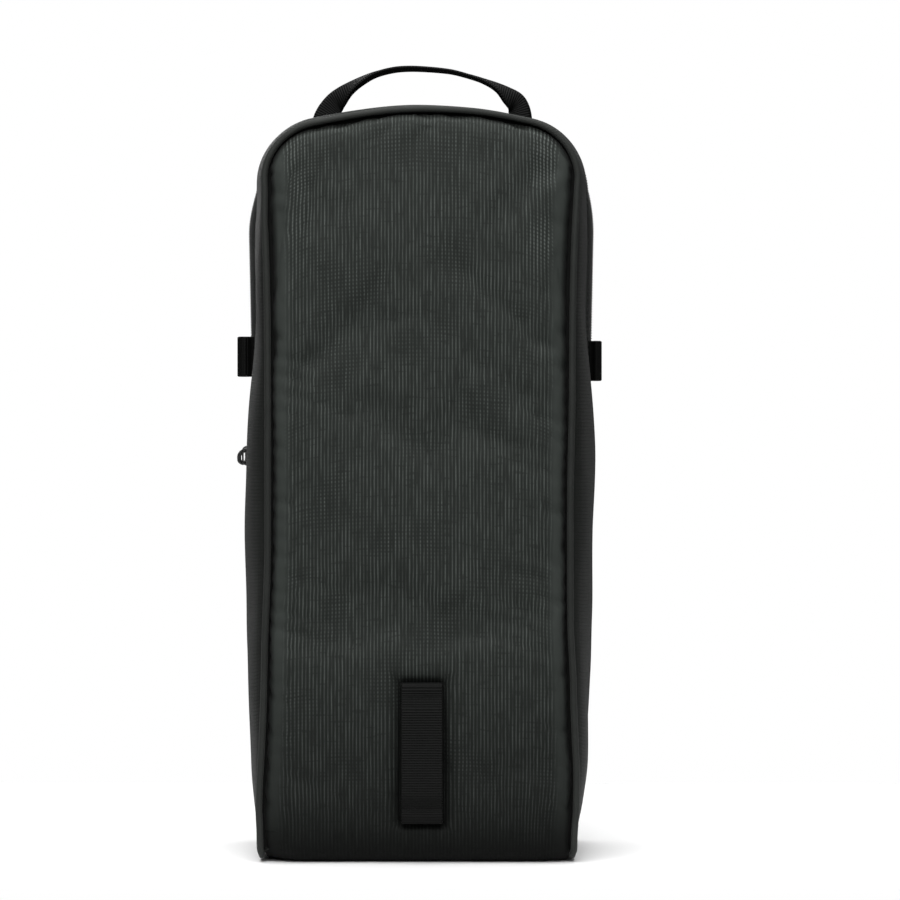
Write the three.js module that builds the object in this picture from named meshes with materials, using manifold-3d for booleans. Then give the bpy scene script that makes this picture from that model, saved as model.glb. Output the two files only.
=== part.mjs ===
// A shoe bag: an upright soft case of piped panels with a webbing handle, side loops, a front strap
// and a zip that runs up the left side, over the top and down the right side.
// Millimetres. +Z is up, -Y is the front, and the origin is under the middle of the base.
import * as THREE from "three";
import { mergeVertices } from "three/addons/utils/BufferGeometryUtils.js";
import Module from "manifold-3d";

const wasm = await Module();
wasm.setup();

// ---------- driving dimensions ----------
const CLEARANCE = 0.3; // gap between pieces that touch

// Depth of the bag, from the front seam to the back seam.
const FRONT_SEAM_Y = -56;
const BACK_SEAM_Y = 60;
const PANEL_PROUD = 1.5; // how far a panel's edge stands outside its seam

// Outline of the front seam, seen from the front.
const WAIST_HALF = 77;
const WAIST_Z = 190;
const TOP_FLARE = 3;
const TOP_FLARE_SPAN = 150;
const BASE_FLARE = 4.5;
const BASE_FLARE_SPAN = 170;
const BASE_FLARE_END_Z = 25;
const CORNER_Z = 343; // the height where the straight sides turn into the top corners
const CORNER_R = 30.3;
const ARCH_SLOPE = THREE.MathUtils.degToRad(9); // slope of the top edge where it meets the corner
const BACK_GROWTH = 4; // how much larger the back seam's outline is

// Bulge of the sides and the top between the two seams.
const SIDE_BULGE = 11;
const ABOVE_WAIST_LOSS = 5.6; // the bulge lost over the next 80 mm above the waist
const NEAR_CORNER_LOSS = 2.4; // and again just under the top corners
const TOP_BULGE = 3;
const FULL_BULGE_Z = 195;

// Cloth and board.
const CLOTH_T = 1.6;
const GUSSET_T = 2;
const FRONT_FOAM_T = 4;
const BACK_FOAM_T = 3;
const LINING_T = 0.8;
const BOARD_T = 2;
const FRONT_CROWN = 4;
const BACK_CROWN = 2.5;
const FRONT_ROLL_R = 16;
const BACK_ROLL_R = 10;
const PANEL_INSET = 4.2; // from the seam outline to a panel's edge
const FOAM_INSET = 8;
const GUSSET_LIFT = 2.6; // how far a side gusset's foot stays above the base's underside

// Piping.
const PIPING_R = 1.8;
const PIPING_INSET = 1.5;
const PIPING_OUT_Y = 1.6;
const PIPING_END_Z = 3;

// Zip.
const ZIP_Y = 40;
const ZIP_END_Z = 195;
const ZIP_X_LOW = 87.3; // half-width of the tape's face where the zip ends
const ZIP_LEAN = 0.02; // outward millimetres for each millimetre of height
const ZIP_CURL_Z = 318; // the height where the zip starts to curl in towards the corner
const ZIP_CURL = 0.0049;
const ZIP_FLAT = 5; // half the depth of the flat stretch that carries the tape
const ZIP_FADE = 11; // depth over which the flat stretch fades into the gusset
const TAPE_T = 1;
const COIL_W = 2.6;
const COIL_T = 2.2;
const COIL_GAP = 1.6;
const STRIP_EDGE_Y = 30; // rear edge of the front strip, front edge of the tape
const REAR_STRIP_Y = 50;
const SLIDER_Z = 203;
const SLIDER_L = 13;
const SLIDER_W = 9.6;
const SLIDER_SLOT = 2.8;
const SLIDER_PLATE = 1.4;
const BRIDGE_HOLE = 3.2;
const BRIDGE_T = 1;
const BRIDGE_W = 1.6;
const BRIDGE_HALF_L = 5.8;
const BRIDGE_POST = 1.1;
const PULL_CORD_R = 1.1;

// Webbing.
const WEBBING_W = 20;
const WEBBING_T = 1.5;
const HANDLE_Y = -13;
const LOOP_LEFT_Z = 254.6;
const LOOP_RIGHT_Z = 252.4;
const LOOP_LEFT_OUT_X = 95.6;
const LOOP_RIGHT_OUT_X = 94.6;
const LOOP_Y = 30;
const LOOP_HALF_Y = 3.6;
const LOOP_T = 1.2;
const STRAP_X = 1;
const STRAP_LOW_Z = 21;
const STRAP_HIGH_Z = 89;
const STRAP_END = 7;
const STRAP_STAND_OFF = 4.6;

// ---------- materials ----------
function cloth(colour, roughness) {
  return new THREE.MeshStandardMaterial({ color: colour, roughness, metalness: 0 });
}
const outerCloth = cloth(0x353836, 0.8);
const gussetCloth = cloth(0x2c2e2c, 0.82);
const pipingCloth = cloth(0x2b2d2b, 0.6);
const webbing = cloth(0x181a18, 0.75);
const zipTape = cloth(0x1a1b1a, 0.85);
const coilNylon = cloth(0x161716, 0.5);
const cordBraid = cloth(0x1c1d1c, 0.7);
const liningCloth = cloth(0x242424, 0.85);
const foam = cloth(0x55565a, 0.95);
const board = cloth(0x202224, 0.6);
const enamel = new THREE.MeshStandardMaterial({ color: 0x121212, roughness: 0.35, metalness: 0.6 });

// ---------- small tools ----------
const bag = new THREE.Group();

function add(name, geometry, material) {
  const mesh = new THREE.Mesh(geometry, material);
  mesh.name = name;
  bag.add(mesh);
  return mesh;
}

function lerp(a, b, t) {
  return a + (b - a) * t;
}

function smooth(low, high, value) {
  return THREE.MathUtils.smoothstep(value, low, high);
}

function steps(from, to, count) {
  return Array.from({ length: count + 1 }, (_, i) => lerp(from, to, i / count));
}

// A closed body from triangles of points, turned so that its faces point out.
function bodyOf(points, triangles) {
  let volume = 0;
  for (const [a, b, c] of triangles) {
    volume += points[a].dot(points[b].clone().cross(points[c]));
  }
  const index = triangles.flatMap(([a, b, c]) => (volume > 0 ? [a, b, c] : [a, c, b]));
  const geometry = new THREE.BufferGeometry();
  geometry.setFromPoints(points);
  geometry.setIndex(index);
  geometry.computeVertexNormals();
  return geometry;
}

// A sheet with a thickness: two grids of points, the outer face and the inner face.
function sheet(outer, inner) {
  const rows = outer.length;
  const columns = outer[0].length;
  const points = [...outer.flat(), ...inner.flat()];
  const at = (side, i, j) => side * rows * columns + i * columns + j;
  const triangles = [];
  const quad = (a, b, c, d) => triangles.push([a, b, c], [a, c, d]);
  for (let i = 0; i + 1 < rows; i++) {
    for (let j = 0; j + 1 < columns; j++) {
      quad(at(0, i, j), at(0, i, j + 1), at(0, i + 1, j + 1), at(0, i + 1, j));
      quad(at(1, i, j), at(1, i + 1, j), at(1, i + 1, j + 1), at(1, i, j + 1));
    }
  }
  for (let i = 0; i + 1 < rows; i++) {
    quad(at(0, i, 0), at(0, i + 1, 0), at(1, i + 1, 0), at(1, i, 0));
    quad(at(0, i + 1, columns - 1), at(0, i, columns - 1), at(1, i, columns - 1), at(1, i + 1, columns - 1));
  }
  for (let j = 0; j + 1 < columns; j++) {
    quad(at(0, 0, j + 1), at(0, 0, j), at(1, 0, j), at(1, 0, j + 1));
    quad(at(0, rows - 1, j), at(0, rows - 1, j + 1), at(1, rows - 1, j + 1), at(1, rows - 1, j));
  }
  return bodyOf(points, triangles);
}

// A body through rings of points, closed at its ends or joined end to end.
function loft(rings, endless = false) {
  const sides = rings[0].length;
  const points = rings.flat();
  const triangles = [];
  const last = endless ? rings.length : rings.length - 1;
  for (let i = 0; i < last; i++) {
    const next = (i + 1) % rings.length;
    for (let j = 0; j < sides; j++) {
      const k = (j + 1) % sides;
      triangles.push([i * sides + j, i * sides + k, next * sides + k]);
      triangles.push([i * sides + j, next * sides + k, next * sides + j]);
    }
  }
  if (!endless) {
    const end = (rings.length - 1) * sides;
    for (let j = 1; j + 1 < sides; j++) {
      triangles.push([0, j + 1, j]);
      triangles.push([end, end + j, end + j + 1]);
    }
  }
  return bodyOf(points, triangles);
}

function circle(radius, sides) {
  const shape = new THREE.Shape();
  for (let i = 0; i < sides; i++) {
    const angle = ((i + 0.5) / sides) * 2 * Math.PI;
    const move = i === 0 ? "moveTo" : "lineTo";
    shape[move](radius * Math.cos(angle), radius * Math.sin(angle));
  }
  shape.closePath();
  return shape;
}

function tube(points, radius, sides, count) {
  const path = new THREE.CatmullRomCurve3(points, false, "centripetal");
  return new THREE.ExtrudeGeometry(circle(radius, sides), { extrudePath: path, steps: count });
}

function block(low, high) {
  const size = new THREE.Vector3().subVectors(high, low);
  const geometry = new THREE.BoxGeometry(size.x, size.y, size.z);
  geometry.translate((low.x + high.x) / 2, (low.y + high.y) / 2, (low.z + high.z) / 2);
  return geometry;
}

function solidOf(geometry) {
  const plain = geometry.clone();
  plain.deleteAttribute("normal");
  plain.deleteAttribute("uv");
  const merged = mergeVertices(plain, 1e-4);
  return new wasm.Manifold(
    new wasm.Mesh({
      numProp: 3,
      vertProperties: new Float32Array(merged.attributes.position.array),
      triVerts: new Uint32Array(merged.index.array),
    }),
  );
}

function unite(geometries) {
  const joined = geometries.map(solidOf).reduce((sum, solid) => sum.add(solid));
  const mesh = joined.getMesh();
  const geometry = new THREE.BufferGeometry();
  geometry.setAttribute("position", new THREE.BufferAttribute(mesh.vertProperties, 3));
  geometry.setIndex(new THREE.BufferAttribute(mesh.triVerts, 1));
  geometry.computeVertexNormals();
  return geometry;
}

// ---------- the outline of the bag ----------
function seamHalf(z) {
  if (z > WAIST_Z) {
    const high = Math.min(z, CORNER_Z);
    return WAIST_HALF + TOP_FLARE * ((high - WAIST_Z) / TOP_FLARE_SPAN) ** 4;
  }
  const low = Math.max(z, BASE_FLARE_END_Z);
  return WAIST_HALF + BASE_FLARE * ((WAIST_Z - low) / BASE_FLARE_SPAN) ** 4;
}

const CORNER_X = seamHalf(CORNER_Z) - CORNER_R;
const ARCH_R = CORNER_R + CORNER_X / Math.sin(ARCH_SLOPE);
const ARCH_Z = CORNER_Z - (ARCH_R - CORNER_R) * Math.cos(ARCH_SLOPE);

// A place on the outline: its point, its outward direction, and how far round the corner it is.
function sidePlace(side, z) {
  return { x: side * seamHalf(z), z, nx: side, nz: 0, turn: 0 };
}

function cornerPlace(side, angle) {
  const nx = side * Math.cos(angle);
  const nz = Math.sin(angle);
  const turn = angle / (Math.PI / 2 - ARCH_SLOPE);
  return { x: side * CORNER_X + CORNER_R * nx, z: CORNER_Z + CORNER_R * nz, nx, nz, turn };
}

function archPlace(slope) {
  const nx = Math.sin(slope);
  const nz = Math.cos(slope);
  return { x: ARCH_R * nx, z: ARCH_Z + ARCH_R * nz, nx, nz, turn: 1 };
}

function sidePlaces(side, lowZ, highZ, count) {
  return steps(lowZ, highZ, count).map((z) => sidePlace(side, z));
}

// From the left corner over the top to the right corner.
function topPlaces(cornerSteps, archSteps) {
  const full = Math.PI / 2 - ARCH_SLOPE;
  const left = steps(0, full, cornerSteps).map((angle) => cornerPlace(-1, angle));
  const arch = steps(-ARCH_SLOPE, ARCH_SLOPE, archSteps).slice(1, -1).map(archPlace);
  const right = steps(full, 0, cornerSteps).map((angle) => cornerPlace(1, angle));
  return [...left, ...arch, ...right];
}

function arcPlaces(lowZ, sideSteps, cornerSteps, archSteps) {
  const heights = [...steps(lowZ, ZIP_CURL_Z, sideSteps), ...steps(ZIP_CURL_Z, CORNER_Z, 3).slice(1, -1)];
  const left = heights.map((z) => sidePlace(-1, z));
  const right = heights.toReversed().map((z) => sidePlace(1, z));
  return [...left, ...topPlaces(cornerSteps, archSteps), ...right];
}

// ---------- the cloth surface between the seams ----------
function zipHalf(z) {
  const curl = ZIP_CURL * Math.max(0, z - ZIP_CURL_Z) ** 2;
  return ZIP_X_LOW + ZIP_LEAN * (z - ZIP_END_Z) - curl;
}

function bulgeAt(place) {
  const low = Math.min(place.z, FULL_BULGE_Z);
  const base = SIDE_BULGE * (1 - (1 - low / FULL_BULGE_Z) ** 2);
  const lost = ABOVE_WAIST_LOSS * smooth(200, 280, place.z) + NEAR_CORNER_LOSS * smooth(300, 345, place.z);
  return lerp(base - lost, TOP_BULGE, place.turn);
}

function growthAt(place) {
  return BACK_GROWTH * smooth(0, 80, place.z);
}

// How far the surface stands outside the front seam's outline at a depth.
function standOut(place, y) {
  const t = (y - FRONT_SEAM_Y) / (BACK_SEAM_Y - FRONT_SEAM_Y);
  const swell = Math.max(0, 1 - Math.abs(2 * t - 1) ** 3) ** 0.8;
  const free = growthAt(place) * t + bulgeAt(place) * swell;
  const zipAtSide = zipHalf(Math.min(place.z, CORNER_Z)) - seamHalf(Math.min(place.z, CORNER_Z));
  const atZip = lerp(zipAtSide, BACK_GROWTH + TOP_BULGE * 0.5, place.turn);
  const near = 1 - smooth(ZIP_FLAT, ZIP_FLAT + ZIP_FADE, Math.abs(y - ZIP_Y));
  const hold = near * smooth(ZIP_END_Z - 85, ZIP_END_Z - 35, place.z);
  return lerp(free, atZip, hold);
}

function onCloth(place, y, lift = 0) {
  const out = standOut(place, y) + lift;
  return new THREE.Vector3(place.x + place.nx * out, y, place.z + place.nz * out);
}

// A strip of the cloth wall: outline places by depths, with its outer face lifted off the surface.
function wall(places, depths, thickness, lift = 0) {
  const outer = places.map((place) => depths.map((y) => onCloth(place, y, lift)));
  const inner = places.map((place) => depths.map((y) => onCloth(place, y, lift - thickness)));
  return sheet(outer, inner);
}

// ---------- panels ----------
// A panel's columns run up to its top edge, which is an arch or a straight line.
function panelColumns(inset, growth, cornerSteps, archSteps, flatTopZ) {
  const half = seamHalf(CORNER_Z) - inset + growth;
  return topPlaces(cornerSteps, archSteps).map((place) => {
    const out = growth - inset;
    const x = place.x + place.nx * out;
    const z = flatTopZ ?? place.z + place.nz * out;
    return { across: x / half, topZ: z };
  });
}

function crownAt(across, z, height) {
  const up = THREE.MathUtils.clamp((z - WAIST_Z) / (CORNER_Z + CORNER_R / 2 - WAIST_Z), -1, 1);
  return height * (1 - across ** 6) * (1 - up ** 8);
}

function panel({ inset, back, lowZ, flatTopZ, faceY, thickness, crown, rows }) {
  const facing = back ? 1 : -1;
  const columns = panelColumns(inset, back ? BACK_GROWTH : 0, 5, 4, flatTopZ);
  const place = (column, v, depth) => {
    const z = lerp(lowZ, column.topZ, v);
    const growth = back ? growthAt({ z }) : 0;
    const half = seamHalf(z) - inset + growth;
    const y = faceY + facing * (crownAt(column.across, z, crown) - depth);
    return new THREE.Vector3(column.across * half, y, z);
  };
  const heights = steps(0, 1, rows);
  const outer = heights.map((v) => columns.map((column) => place(column, v, 0)));
  const inner = heights.map((v) => columns.map((column) => place(column, v, thickness)));
  return sheet(outer, inner);
}

const FRONT_FACE_Y = FRONT_SEAM_Y - PANEL_PROUD;
const BACK_FACE_Y = BACK_SEAM_Y + PANEL_PROUD;

// Cloth, foam and lining lie one behind the other.
function layers(name, { back, lowZ, flatTopZ, foamT, crown, rows }) {
  const face = back ? BACK_FACE_Y : FRONT_FACE_Y;
  const inward = back ? -1 : 1;
  const foamY = face + inward * (CLOTH_T + CLEARANCE);
  const liningY = foamY + inward * (foamT + CLEARANCE);
  const innerLow = lowZ + FOAM_INSET - PANEL_INSET;
  const innerTop = flatTopZ && flatTopZ - FOAM_INSET + PANEL_INSET;
  const skin = { inset: PANEL_INSET, back, lowZ, flatTopZ, crown, rows };
  const hidden = { inset: FOAM_INSET, back, lowZ: innerLow, flatTopZ: innerTop, crown, rows };
  add(`${name}_panel`, panel({ ...skin, faceY: face, thickness: CLOTH_T }), outerCloth);
  add(`${name}_foam`, panel({ ...hidden, faceY: foamY, thickness: foamT }), foam);
  add(`${name}_lining`, panel({ ...hidden, faceY: liningY, thickness: LINING_T }), liningCloth);
}

const HINGE_GAP = CLEARANCE / 2;
layers("front", {
  back: false,
  lowZ: FRONT_ROLL_R + CLEARANCE,
  foamT: FRONT_FOAM_T,
  crown: FRONT_CROWN,
  rows: 9,
});
layers("back_lower", {
  back: true,
  lowZ: BACK_ROLL_R + CLEARANCE,
  flatTopZ: ZIP_END_Z - HINGE_GAP,
  foamT: BACK_FOAM_T,
  crown: BACK_CROWN,
  rows: 5,
});
layers("back_upper", {
  back: true,
  lowZ: ZIP_END_Z + HINGE_GAP,
  foamT: BACK_FOAM_T,
  crown: BACK_CROWN,
  rows: 5,
});

// ---------- base ----------
// The front cloth rolls under the bag and runs back to the foot of the back panel.
function basePath(inset) {
  const path = [];
  for (const angle of steps(0, Math.PI / 2, 5)) {
    const r = FRONT_ROLL_R - inset;
    const y = FRONT_FACE_Y + FRONT_ROLL_R - r * Math.cos(angle);
    path.push([y, FRONT_ROLL_R - r * Math.sin(angle)]);
  }
  for (const angle of steps(0, Math.PI / 2, 4)) {
    const r = BACK_ROLL_R - inset;
    const y = BACK_FACE_Y - BACK_ROLL_R + r * Math.sin(angle);
    path.push([y, BACK_ROLL_R - r * Math.cos(angle)]);
  }
  return path;
}

const BASE_HALF = seamHalf(0) - PANEL_INSET;
function baseFace(inset) {
  return basePath(inset).map(([y, z]) => [-BASE_HALF, BASE_HALF].map((x) => new THREE.Vector3(x, y, z)));
}
add("base_panel", sheet(baseFace(0), baseFace(GUSSET_T)), outerCloth);

const boardLow = new THREE.Vector3(-BASE_HALF + 4, FRONT_FACE_Y + FRONT_ROLL_R + 3, GUSSET_T + CLEARANCE);
const boardHigh = new THREE.Vector3(BASE_HALF - 4, BACK_FACE_Y - BACK_ROLL_R - 3, boardLow.z + BOARD_T);
add("base_board", block(boardLow, boardHigh), board);

// ---------- side gussets and the strips either side of the zip ----------
const WALL_FRONT_Y = FRONT_SEAM_Y + 0.6;
const WALL_BACK_Y = BACK_SEAM_Y - 0.6;

// The foot of a side gusset follows the rolls of the base.
function gussetFoot(y) {
  const frontCentre = FRONT_FACE_Y + FRONT_ROLL_R;
  const backCentre = BACK_FACE_Y - BACK_ROLL_R;
  if (y < frontCentre) {
    const r = FRONT_ROLL_R - GUSSET_LIFT;
    return FRONT_ROLL_R - Math.sqrt(Math.max(0, r * r - (y - frontCentre) ** 2));
  }
  if (y > backCentre) {
    const r = BACK_ROLL_R - GUSSET_LIFT;
    return BACK_ROLL_R - Math.sqrt(Math.max(0, r * r - (y - backCentre) ** 2));
  }
  return GUSSET_LIFT;
}

function sideGusset(side) {
  const depths = [WALL_FRONT_Y, -52, -46, -36, -18, 6, 24, 31, 35, 45, 49, 54, WALL_BACK_Y];
  const face = (lift) =>
    steps(0, 1, 7).map((v) =>
      depths.map((y) => {
        const z = lerp(gussetFoot(y), ZIP_END_Z - HINGE_GAP, v);
        return onCloth(sidePlace(side, z), y, lift);
      }),
    );
  return sheet(face(0), face(-GUSSET_T));
}

const SIDES = [
  ["left", -1],
  ["right", 1],
];
const STRIP_DEPTHS = [WALL_FRONT_Y, -52, -46, -36, -18, 6, 24, STRIP_EDGE_Y];
const REAR_DEPTHS = [REAR_STRIP_Y, 55, WALL_BACK_Y];
const STRIP_LOW_Z = ZIP_END_Z + HINGE_GAP;
const STRIP_SIDE_TOP = CORNER_Z - CLEARANCE;
for (const [word, side] of SIDES) {
  const places = sidePlaces(side, STRIP_LOW_Z, STRIP_SIDE_TOP, 4);
  add(`side_gusset_${word}`, sideGusset(side), gussetCloth);
  add(`front_strip_${word}`, wall(places, STRIP_DEPTHS, GUSSET_T), gussetCloth);
  add(`rear_strip_${word}`, wall(places, REAR_DEPTHS, GUSSET_T), gussetCloth);
}
add("front_strip_top", wall(topPlaces(6, 6), STRIP_DEPTHS, GUSSET_T), gussetCloth);
add("rear_strip_top", wall(topPlaces(6, 6), REAR_DEPTHS, GUSSET_T), gussetCloth);

// ---------- zip ----------
const trackPlaces = arcPlaces(STRIP_LOW_Z, 4, 8, 6);
const coilFront = ZIP_Y - COIL_GAP / 2;
const coilRear = ZIP_Y + COIL_GAP / 2;
const frontTapeEnd = coilFront - COIL_W - CLEARANCE;
const rearTapeStart = coilRear + COIL_W + CLEARANCE;
const frontTape = [STRIP_EDGE_Y + CLEARANCE, ZIP_Y - ZIP_FLAT, frontTapeEnd];
const rearTape = [rearTapeStart, ZIP_Y + ZIP_FLAT, REAR_STRIP_Y - CLEARANCE];
const coilLift = (COIL_T - TAPE_T) / 2;
add("zip_tape_front", wall(trackPlaces, frontTape, TAPE_T), zipTape);
add("zip_tape_rear", wall(trackPlaces, rearTape, TAPE_T), zipTape);
add("zip_coil_front", wall(trackPlaces, [coilFront - COIL_W, coilFront], COIL_T, coilLift), coilNylon);
add("zip_coil_rear", wall(trackPlaces, [coilRear, coilRear + COIL_W], COIL_T, coilLift), coilNylon);

for (const [word, side] of SIDES) {
  const places = sidePlaces(side, ZIP_END_Z - 11, ZIP_END_Z - 1, 2);
  const depths = [ZIP_Y - ZIP_FLAT, ZIP_Y + ZIP_FLAT];
  add(`zip_end_tab_${word}`, wall(places, depths, 1, 1.4), webbing);
}

// The slider: two plates joined by a post between the coils, with a bridge for the cord.
const slotMid = zipHalf(SLIDER_Z) - TAPE_T / 2;
const outerPlateX = slotMid + SLIDER_SLOT / 2;
const outerFaceX = outerPlateX + SLIDER_PLATE;
const bridgeInX = outerFaceX + BRIDGE_HOLE;
const bridgeOutX = bridgeInX + BRIDGE_T;
// Blocks are given by their outward distances, their depths about the zip and heights about the slider.
function sliderBlock(nearX, farX, lowY, highY, lowZ, highZ) {
  const low = new THREE.Vector3(-farX, ZIP_Y + lowY, SLIDER_Z + lowZ);
  const high = new THREE.Vector3(-nearX, ZIP_Y + highY, SLIDER_Z + highZ);
  return block(low, high);
}

function zipSlider() {
  const halfW = SLIDER_W / 2;
  const halfL = SLIDER_L / 2;
  const innerPlateX = slotMid - SLIDER_SLOT / 2;
  const bar = BRIDGE_W / 2;
  return unite([
    sliderBlock(outerPlateX, outerFaceX, -halfW, halfW, -halfL, halfL),
    sliderBlock(innerPlateX - SLIDER_PLATE, innerPlateX, -halfW, halfW, -halfL, halfL),
    sliderBlock(innerPlateX - 0.5, outerPlateX + 0.5, -0.45, 0.45, 1, 5),
    sliderBlock(outerFaceX - 0.5, bridgeOutX, -bar, bar, -BRIDGE_HALF_L, BRIDGE_POST - BRIDGE_HALF_L),
    sliderBlock(outerFaceX - 0.5, bridgeOutX, -bar, bar, BRIDGE_HALF_L - BRIDGE_POST, BRIDGE_HALF_L),
    sliderBlock(bridgeInX, bridgeOutX, -bar, bar, -BRIDGE_HALF_L, BRIDGE_HALF_L),
  ]);
}
add("zip_slider", zipSlider(), enamel);

// The pull is a loop of braided cord: under the bridge, round in front of it, back over it, and away
// to the rear, where it bends round on itself.
const bridgeMidX = (bridgeInX + bridgeOutX) / 2;
const cordReach = Math.hypot(BRIDGE_T, BRIDGE_W) / 2 + PULL_CORD_R + CLEARANCE;
const pullRoute = [
  [bridgeMidX - cordReach, -0.6, 2.3],
  [bridgeMidX - cordReach + 0.3, 2.6, 2.6],
  [bridgeMidX - cordReach + 1.3, 8, 3.4],
  [bridgeMidX + 0.4, 14, 3.4],
  [bridgeMidX + 2.4, 19, 2.3],
  [bridgeMidX + 3.3, 20.6, 0],
  [bridgeMidX + 3.2, 19, -2.3],
  [bridgeMidX + 2.6, 14, -3.6],
  [bridgeMidX + cordReach + 0.3, 8, -3.4],
  [bridgeMidX + cordReach, 2.6, -2.6],
  [bridgeMidX + cordReach - 0.1, -0.4, -2.3],
  [bridgeMidX + 0.8, -cordReach, -1.2],
  [bridgeMidX - 0.8, -cordReach, 1.2],
].map(([x, y, z]) => new THREE.Vector3(-x, ZIP_Y + y, SLIDER_Z + z));

function endlessCord(points, radius, sides, count) {
  const path = new THREE.CatmullRomCurve3(points, true, "centripetal");
  const frames = path.computeFrenetFrames(count, true);
  const rings = [];
  for (let i = 0; i < count; i++) {
    const centre = path.getPointAt(i / count);
    const ring = [];
    for (let j = 0; j < sides; j++) {
      const angle = (j / sides) * 2 * Math.PI;
      const offset = frames.normals[i].clone().multiplyScalar(radius * Math.cos(angle));
      offset.addScaledVector(frames.binormals[i], radius * Math.sin(angle));
      ring.push(centre.clone().add(offset));
    }
    rings.push(ring);
  }
  return loft(rings, true);
}
add("zip_pull_cord", endlessCord(pullRoute, PULL_CORD_R, 8, 40), cordBraid);

// ---------- piping ----------
function pipingPoint(place, y, growth) {
  const out = growth - PIPING_INSET;
  return new THREE.Vector3(place.x + place.nx * out, y, place.z + place.nz * out);
}

// The front piping follows the roll of the base and ends just above the floor.
function frontPiping() {
  const y = FRONT_SEAM_Y - PIPING_OUT_Y;
  const foot = [50, 25].map((degrees) => {
    const angle = THREE.MathUtils.degToRad(degrees);
    return [y + FRONT_ROLL_R * (1 - Math.cos(angle)), FRONT_ROLL_R - FRONT_ROLL_R * Math.sin(angle)];
  });
  foot[0][1] = Math.max(foot[0][1], PIPING_END_Z);
  const at = (side, [depth, z]) => pipingPoint(sidePlace(side, z), depth, 0);
  const upper = arcPlaces(FRONT_ROLL_R + 2, 5, 5, 5).map((place) => pipingPoint(place, y, 0));
  const left = foot.map((point) => at(-1, point));
  const right = foot.toReversed().map((point) => at(1, point));
  return tube([...left, ...upper, ...right], PIPING_R, 8, 100);
}
add("front_piping", frontPiping(), pipingCloth);

const backPipingY = BACK_SEAM_Y + PIPING_OUT_Y;
function backPipingPoints(places) {
  return places.map((place) => pipingPoint(place, backPipingY, growthAt(place)));
}
const upperBack = backPipingPoints(arcPlaces(ZIP_END_Z + HINGE_GAP, 3, 5, 5));
add("back_piping_upper", tube(upperBack, PIPING_R, 8, 44), pipingCloth);
for (const [word, side] of SIDES) {
  const points = backPipingPoints(sidePlaces(side, BACK_ROLL_R + 2, ZIP_END_Z - HINGE_GAP, 4));
  add(`back_piping_lower_${word}`, tube(points, PIPING_R, 8, 8), pipingCloth);
}

// ---------- handle ----------
// Flat webbing over the top, folded to half its width where each end is sewn down. Each row is the
// outer edge's x and z, the inner edge's x and z and half the depth, from an end to the middle.
const HANDLE_HALF = [
  [54.4, 379.5, 41.6, 381, 1.5],
  [50.9, 386, 39.8, 384.6, 1.5],
  [46.2, 389.8, 37.6, 387.4, 4.5],
  [38, 393.4, 34.9, 390.6, 7.6],
  [26.8, 397.4, 26, 395.7, WEBBING_W / 2],
  [13.5, 400.8, 13.2, 399.3, WEBBING_W / 2],
];
const HANDLE_TOP = [0, 401.7, 0, 400.2, WEBBING_W / 2];

function handle() {
  const rows = [
    ...HANDLE_HALF.map(([outX, outZ, inX, inZ, depth]) => [-outX, outZ, -inX, inZ, depth]),
    HANDLE_TOP,
    ...HANDLE_HALF.toReversed(),
  ];
  const outer = rows.map(([x, z, , , depth]) => new THREE.Vector3(x, depth, z));
  const inner = rows.map(([, , x, z, depth]) => new THREE.Vector3(x, depth, z));
  const outerPath = new THREE.CatmullRomCurve3(outer, false, "centripetal");
  const innerPath = new THREE.CatmullRomCurve3(inner, false, "centripetal");
  const rings = steps(0, 1, 36).map((t) => {
    const high = outerPath.getPoint(t);
    const low = innerPath.getPoint(t);
    const corner = (point, way) => new THREE.Vector3(point.x, HANDLE_Y + way * point.y, point.z);
    return [corner(low, -1), corner(high, -1), corner(high, 1), corner(low, 1)];
  });
  return loft(rings);
}
add("handle_webbing", handle(), webbing);

// ---------- side loops ----------
// A loop of webbing on each side, its two legs sewn down beside the zip.
function sideLoop(side, middleZ, outX) {
  const rootX = seamHalf(middleZ) + standOut(sidePlace(1, middleZ), LOOP_Y + LOOP_HALF_Y) + 2 * CLEARANCE;
  const bend = LOOP_HALF_Y * 0.6;
  const shape = new THREE.Shape();
  const lowY = LOOP_Y - LOOP_HALF_Y;
  const highY = LOOP_Y + LOOP_HALF_Y;
  const innerBend = bend - LOOP_T;
  const innerX = outX - LOOP_T;
  shape.moveTo(rootX, lowY);
  shape.lineTo(outX - bend, lowY);
  shape.absarc(outX - bend, lowY + bend, bend, -Math.PI / 2, 0, false);
  shape.absarc(outX - bend, highY - bend, bend, 0, Math.PI / 2, false);
  shape.lineTo(rootX, highY);
  shape.lineTo(rootX, highY - LOOP_T);
  shape.lineTo(innerX - innerBend, highY - LOOP_T);
  shape.absarc(innerX - innerBend, highY - LOOP_T - innerBend, innerBend, Math.PI / 2, 0, true);
  shape.absarc(innerX - innerBend, lowY + LOOP_T + innerBend, innerBend, 0, -Math.PI / 2, true);
  shape.lineTo(rootX, lowY + LOOP_T);
  shape.closePath();
  const options = { depth: WEBBING_W, bevelEnabled: false, curveSegments: 3 };
  const geometry = new THREE.ExtrudeGeometry(shape, options);
  geometry.translate(0, 0, middleZ - WEBBING_W / 2);
  if (side < 0) {
    geometry.rotateZ(Math.PI);
    geometry.translate(0, 2 * LOOP_Y, 0);
  }
  return geometry;
}
add("side_loop_left", sideLoop(-1, LOOP_LEFT_Z, LOOP_LEFT_OUT_X), webbing);
add("side_loop_right", sideLoop(1, LOOP_RIGHT_Z, LOOP_RIGHT_OUT_X), webbing);

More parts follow.
